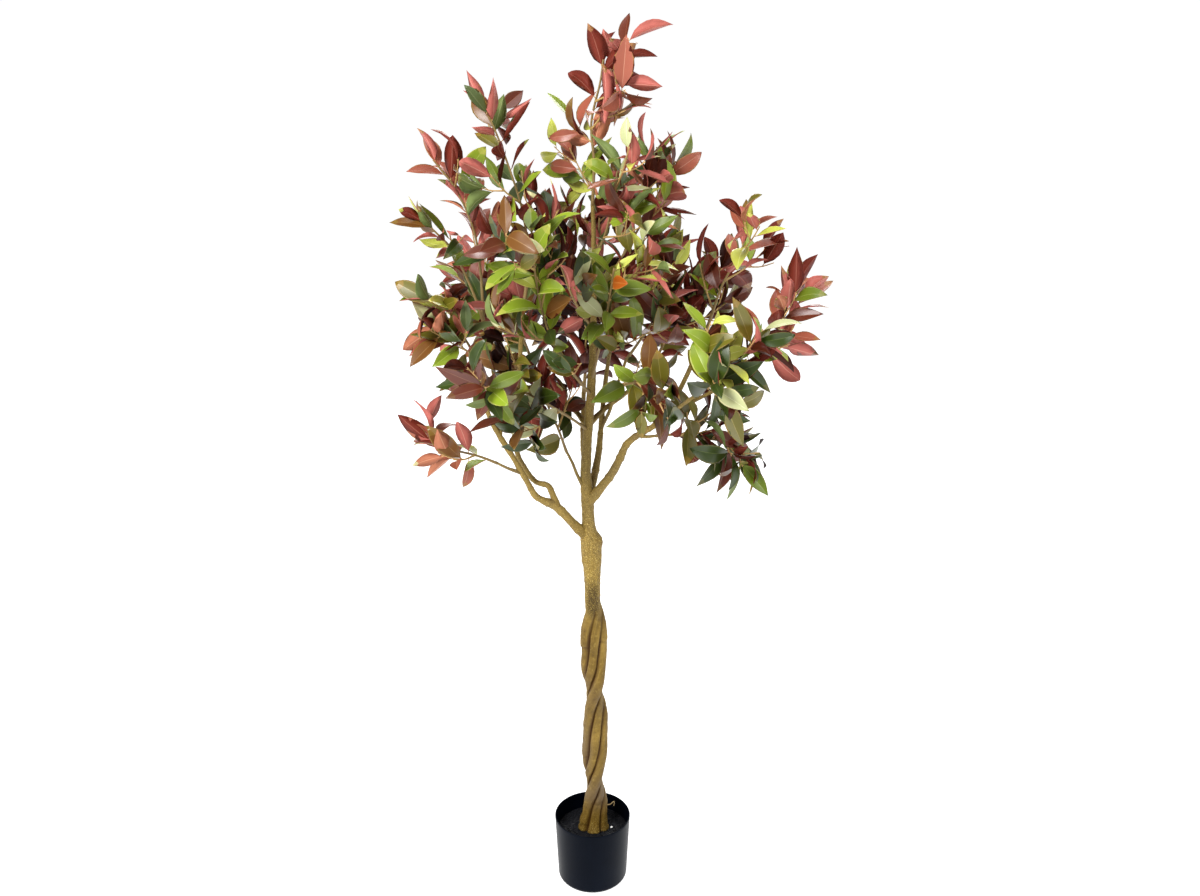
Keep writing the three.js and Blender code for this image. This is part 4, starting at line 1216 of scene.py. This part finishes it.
def leaf_pattern():
    """One leaf as shares: (along, sideways, layer) of each point, with its faces and their parts.

    The upper side is a grid of stations and columns whose rows sweep forward. The underside shares its margin
    and has a raised rib. Parts are 0 blade, 1 rib, 2 margin, 3 underside, 4 underside's rib, 5 stalk and
    6 underside's tip.
    """
    stations = np.arange(1, LEAF_ROWS) / LEAF_ROWS
    points = [(0, BLADE["blunt"] * u, 0) for u in COLUMNS]
    points += [(s, u, 0) for s in stations for u in COLUMNS]
    tip = len(points)
    points.append((1, 0, 0))
    columns = len(COLUMNS)
    faces, parts = [], []
    for row in range(LEAF_ROWS - 1):
        for column, part in enumerate(COLUMN_PARTS):
            a = row * columns + column
            faces.append((a, a + 1, a + 1 + columns, a + columns))
            parts.append(part)
    last = (LEAF_ROWS - 1) * columns
    for column, part in enumerate(COLUMN_PARTS):
        faces.append((last + column, last + column + 1, tip))
        parts.append(part)
    under = len(points)
    rows_under = list(range(0, LEAF_ROWS, 2))
    for row in rows_under:
        s = row / LEAF_ROWS
        half = BLADE["rib_half"] * (BLADE["blunt"] if row == 0 else 1)
        points += [(s, -half, -1), (s, half, -1)]
    for number, row in enumerate(rows_under):
        left, right = under + 2 * number, under + 2 * number + 1
        edge_left, edge_right = row * columns, row * columns + columns - 1
        if row + 2 < LEAF_ROWS:
            faces.append((left, right, right + 2, left + 2)[::-1])
            faces.append((edge_left, left, left + 2, edge_left + 2 * columns, edge_left + columns)[::-1])
            faces.append((right, edge_right, edge_right + columns, edge_right + 2 * columns, right + 2)[::-1])
        else:
            faces.append((left, right, tip)[::-1])
            faces.append((edge_left, left, tip, edge_left + columns)[::-1])
            faces.append((right, edge_right, edge_right + columns, tip)[::-1])
        parts += [4, 3, 3] if row + 2 < LEAF_ROWS else [4, 6, 6]
    base = len(points)
    points += [(-1, 0, 1), (-1, -1, -0.5), (-1, 1, -0.5), (0, 0, 1), (0, -1, -0.5), (0, 1, -0.5)]
    for a, b in ((0, 1), (1, 2), (2, 0)):
        faces.append((base + a, base + b, base + 3 + b, base + 3 + a))
        parts.append(5)
    faces.append((base, base + 2, base + 1))
    parts.append(5)
    faces.append((base + 3, base + 4, base + 5))
    parts.append(5)
    return np.array(points, float), faces, np.array(parts), base


def outline(share, low, high):
    """Half width of a blade at a share of its length: s^low (1 - s)^high over its greatest."""
    arch = share ** low * np.maximum(1 - share, 0) ** high
    widest = low / (low + high)
    return arch / (widest ** low * (1 - widest) ** high)


def varied(measure, drawn):
    """A measure of each leaf, for draws from 0 to 1."""
    least, added = VARIES[measure]
    return least + added * drawn


def leaf_points(leaves, seed):
    """Points of every leaf of a mass.

    A point at (s, u) lies at the width u times the outline there, is folded up from the rib, puffed between
    the side veins and waved at the margin, and is then carried onto an arc and twisted about it.
    """
    pattern, faces, parts, stalk = leaf_pattern()
    number = np.arange(len(leaves.size))
    row = LEAF_DRAWS["per_leaf"] * number
    draw = [chance(seed + LEAF_DRAWS["shape"], row + column)[:, None] for column in range(8)]
    blade = (leaves.size - BLADE["petiole"])[:, None]
    along, side, layer = (pattern[None, :stalk, column] for column in range(3))
    share = along + BLADE["sweep"] * np.abs(side) * np.sin(np.pi * along)
    wide = LEAF["width"] * blade * varied("width", draw[0]) / 2
    base = (along == 0) | (along == 1)
    shape = outline(share, varied("low", draw[6]), varied("high", draw[7]))
    x = np.where(base, side * wide, side * wide * shape)
    fold = np.tan(np.radians(varied("fold", draw[1])))
    vein_low = np.where(np.round(along * LEAF_ROWS) % 2 == 0, 0, 1)
    puff = BLADE["puff"] * vein_low * 4 * np.abs(side) * (1 - np.abs(side))
    ripple = np.sin(2 * np.pi * (WAVE["ripples"] * along + draw[3] + WAVE["slant"] * side))
    wave = WAVE["high"] * (draw[2] - WAVE["middle"]) * np.abs(side) ** 3 * ripple
    z = np.abs(x) * fold + puff + wave * shape
    z = z - np.where(layer < 0, BLADE["thick"] + BLADE["rib_under"] * (1 - along), 0)
    bend = varied("bend", draw[4])
    bend = np.where(np.abs(bend) < BLADE["least_bend"], BLADE["least_bend"], bend)
    tilt = bend * (0.5 - share)
    middle_y = blade * (np.sin(bend / 2) - np.sin(tilt)) / bend
    middle_z = blade * (np.cos(tilt) - np.cos(bend / 2)) / bend
    twist = BLADE["twist"] * (draw[5] - 0.5) * share
    x, z = x * np.cos(twist) - z * np.sin(twist), x * np.sin(twist) + z * np.cos(twist)
    y = middle_y - np.sin(tilt) * z
    z = middle_z + np.cos(tilt) * z
    start_y, start_z = BLADE["petiole"] * np.cos(bend / 2), BLADE["petiole"] * np.sin(bend / 2)
    stalk_along = pattern[None, stalk:, 0] + 1
    stalk_x = pattern[None, stalk:, 1] * BLADE["stalk"] + 0 * bend
    stalk_lift = pattern[None, stalk:, 2] * BLADE["stalk"]
    stalk_y = stalk_along * (start_y + BLADE["overlap"]) - np.sin(bend / 2) * stalk_lift
    stalk_z = stalk_along * start_z + np.cos(bend / 2) * stalk_lift
    x = np.hstack([x, stalk_x])[..., None]
    y = np.hstack([y + start_y, stalk_y])[..., None]
    z = np.hstack([z + start_z, stalk_z])[..., None]
    across = np.cross(leaves.head, leaves.face)
    points = leaves.root[:, None] + x * across[:, None] + y * leaves.head[:, None] + z * leaves.face[:, None]
    rows = [[corner + len(pattern) * leaf for corner in face] for leaf in number for face in faces]
    return points.reshape(-1, 3), rows, parts


def dealt(weights, colours, drawn):
    """Place in the colours of the weight that each draw from 0 to 1 falls in."""
    names = np.array([colours.index(name) for name in weights])
    edges = np.cumsum(list(weights.values()))
    return names[np.searchsorted(edges[:-1] / edges[-1], drawn)]


def leaf_kinds(leaves, short, mass, parts):
    """Finish of every face: colours are dealt out by spray, and some leaves draw their own."""
    number = np.arange(len(leaves.size))
    own = chance(mass.seed + LEAF_DRAWS["own"], number) < OWN_COLOUR
    deal = dealt_as(short)
    kinds = []
    for side, colours in (("tops", list(TOPS)), ("unders", list(UNDERS))):
        row = LEAF_DRAWS[side]
        by_spray = chance(mass.seed, row + leaves.spray)
        drawn = np.where(own, chance(mass.seed + LEAF_DRAWS["own_colour"], row + number), by_spray)
        kinds.append(dealt(deal[side], colours, drawn)[:, None])
    top, under = kinds
    first_under = 3 * len(TOPS)
    stalk = first_under + 2 * len(UNDERS)
    tipped, under_tipped = (
        chance(mass.seed + LEAF_DRAWS[draw], number)[:, None] < TIPPED for draw in ("tipped", "under_tipped")
    )
    face = np.arange(len(parts))
    at_tip = (face >= TIP_FACES[0]) & (face < TIP_FACES[1]) & (parts == 0)
    shown = np.where(tipped & at_tip, 2, parts)
    under_blade = first_under + 2 * under
    under_tip = np.where(under_tipped, 3 * top + 2, under_blade)
    return np.select(
        [shown < 3, shown < 5, shown == 6], [3 * top + shown, under_blade + shown - 3, under_tip], stalk,
    ).ravel()


def add_masses(paths):
    """Each mass as two pieces: its leaves, and its stem with the shoots and finer twigs."""
    grower = Grower(paths)
    finishes = leaf_finishes()
    stalks = [Finish(f"twig_{part}", base_color=tint(code), roughness=0.62).material
              for part, code in STALKS.items()]
    for name, mass in MASSES.items():
        leaves, twigs = grower.grow(name)
        points, faces, parts = leaf_points(leaves, mass.seed)
        short = short_name(name)
        kinds = leaf_kinds(leaves, short, mass, parts)
        add_piece(f"foliage_{short}", points, faces, finishes, [name], kinds)
        stem_root = STEM["trunk_root"] if mass.on == "trunk" else min(STEM["root"], BOUGHS[mass.on].radii[-1])
        limbs = [(paths[name], (stem_root, STEM["middle"], STEM["tip"]), 0)]
        limbs += [(path, (kind["root"], kind["tip"]), 1 if kind is SHOOT else 2) for path, kind in twigs]
        parts = []
        for path, radii, kind in limbs:
            rings, _ = limb_skin(path, radii, TWIG_GRID, flare=TWIG_FLARE)
            skin, skin_faces = closed_skin(rings)
            parts.append((skin, skin_faces, [kind] * len(skin_faces)))
        points, faces, kinds = joined(parts)
        add_piece(f"twigs_{short}", points, faces, stalks, [name], kinds)


# Stage

CAMERA_REACH_M = 5000
WHITE = (1, 1, 1, 1)
# The floor's half side, tone and glow, and the strength of the sky's light
FLOOR = {"half": 2000000, "tone": "c4c4c4", "roughness": 0.9, "glow": 0.93}
SKY = 0.15
# Soft lights: place and size in metres, the point each faces, and its power
LIGHTS = {
    "key": {"at": (-2.1, -2.5, 3.4), "to": (0, 0, 1.2), "size": (1.5, 1.5), "watts": 212},
    "fill": {"at": (2.1, -2.3, 2.7), "to": (0.2, 0, 1.5), "size": (1.2, 1.2), "watts": 38},
    "overhead": {"at": (0.4, 0.2, 4.2), "to": (0, 0, 1.1), "size": (2.4, 2.4), "watts": 60},
    "back": {"at": (0.8, 3.4, 2.9), "to": (0, 0, 1.2), "size": (2.2, 2.2), "watts": 110},
    "left": {"at": (-3.2, -0.6, 1.4), "to": (0, 0, 0.8), "size": (1.0, 3.0), "watts": 35},
    "right": {"at": (3.2, -0.6, 1.4), "to": (0, 0, 0.8), "size": (1.0, 3.0), "watts": 35},
}


def add_camera():
    """The camera where the photograph's stood, level from side to side and looking down at the tree."""
    data = bpy.data.cameras.new("camera")
    data.sensor_width = SENSOR_MM
    data.lens = SENSOR_MM * CAMERA["focal_px"] / PHOTO_WIDTH
    data.clip_end = CAMERA_REACH_M
    camera = bpy.data.objects.new("camera", data)
    camera.location = np.array([CAMERA["x"], CAMERA["y"], CAMERA["z"]]) * MM
    camera.rotation_euler = (math.radians(90 - CAMERA["down"]), 0, 0)
    bpy.context.scene.collection.objects.link(camera)
    bpy.context.scene.camera = camera


def add_floor():
    """A pale level floor that fills the picture up to the horizon, and glows so that it stays pale."""
    half = FLOOR["half"]
    corners = np.array([(-half, -half, 0), (half, -half, 0), (half, half, 0), (-half, half, 0)], float)
    mesh = bpy.data.meshes.new("floor")
    mesh.from_pydata((corners * MM).tolist(), [], [(0, 1, 2, 3)])
    pale = Finish("floor", base_color=tint(FLOOR["tone"]), roughness=FLOOR["roughness"],
                  emission_color=WHITE, emission_strength=FLOOR["glow"])
    mesh.materials.append(pale.material)
    floor = bpy.data.objects.new("floor", mesh)
    bpy.context.scene.collection.objects.link(floor)


def add_lights():
    """Soft rectangular lights, each turned to the point that it faces, and a white sky."""
    for name, light in LIGHTS.items():
        data = bpy.data.lights.new(name, "AREA")
        data.shape = "RECTANGLE"
        data.size, data.size_y = light["size"]
        data.energy = light["watts"]
        lamp = bpy.data.objects.new(name, data)
        lamp.location = light["at"]
        back = np.array(light["at"]) - np.array(light["to"])
        flat = math.hypot(back[0], back[1])
        lamp.rotation_euler = (math.atan2(flat, back[2]), 0, math.atan2(back[0], -back[1]))
        bpy.context.scene.collection.objects.link(lamp)
    # The sky is white where it is seen, and lights softly
    world = bpy.data.worlds.new("studio")
    bpy.context.scene.world = world
    world.use_nodes = True
    tree = world.node_tree
    seen = tree.nodes.new("ShaderNodeLightPath").outputs["Is Camera Ray"]
    strength = tree.nodes.new("ShaderNodeMapRange")
    strength.inputs["To Min"].default_value = SKY
    tree.links.new(seen, strength.inputs["Value"])
    tree.links.new(strength.outputs["Result"], tree.nodes["Background"].inputs["Strength"])
    tree.nodes["Background"].inputs["Color"].default_value = WHITE
    bpy.context.scene.view_settings.view_transform = "Standard"


add_camera()
add_floor()
add_lights()
add_pot()
bed = add_fill()
add_pebbles(bed.data.materials[0])
add_chip()
add_rootlet()
limb_path = limb_paths()
bark = bark_finish()
add_trunk(bark)
add_boughs(limb_path, bark)
add_masses(limb_path)
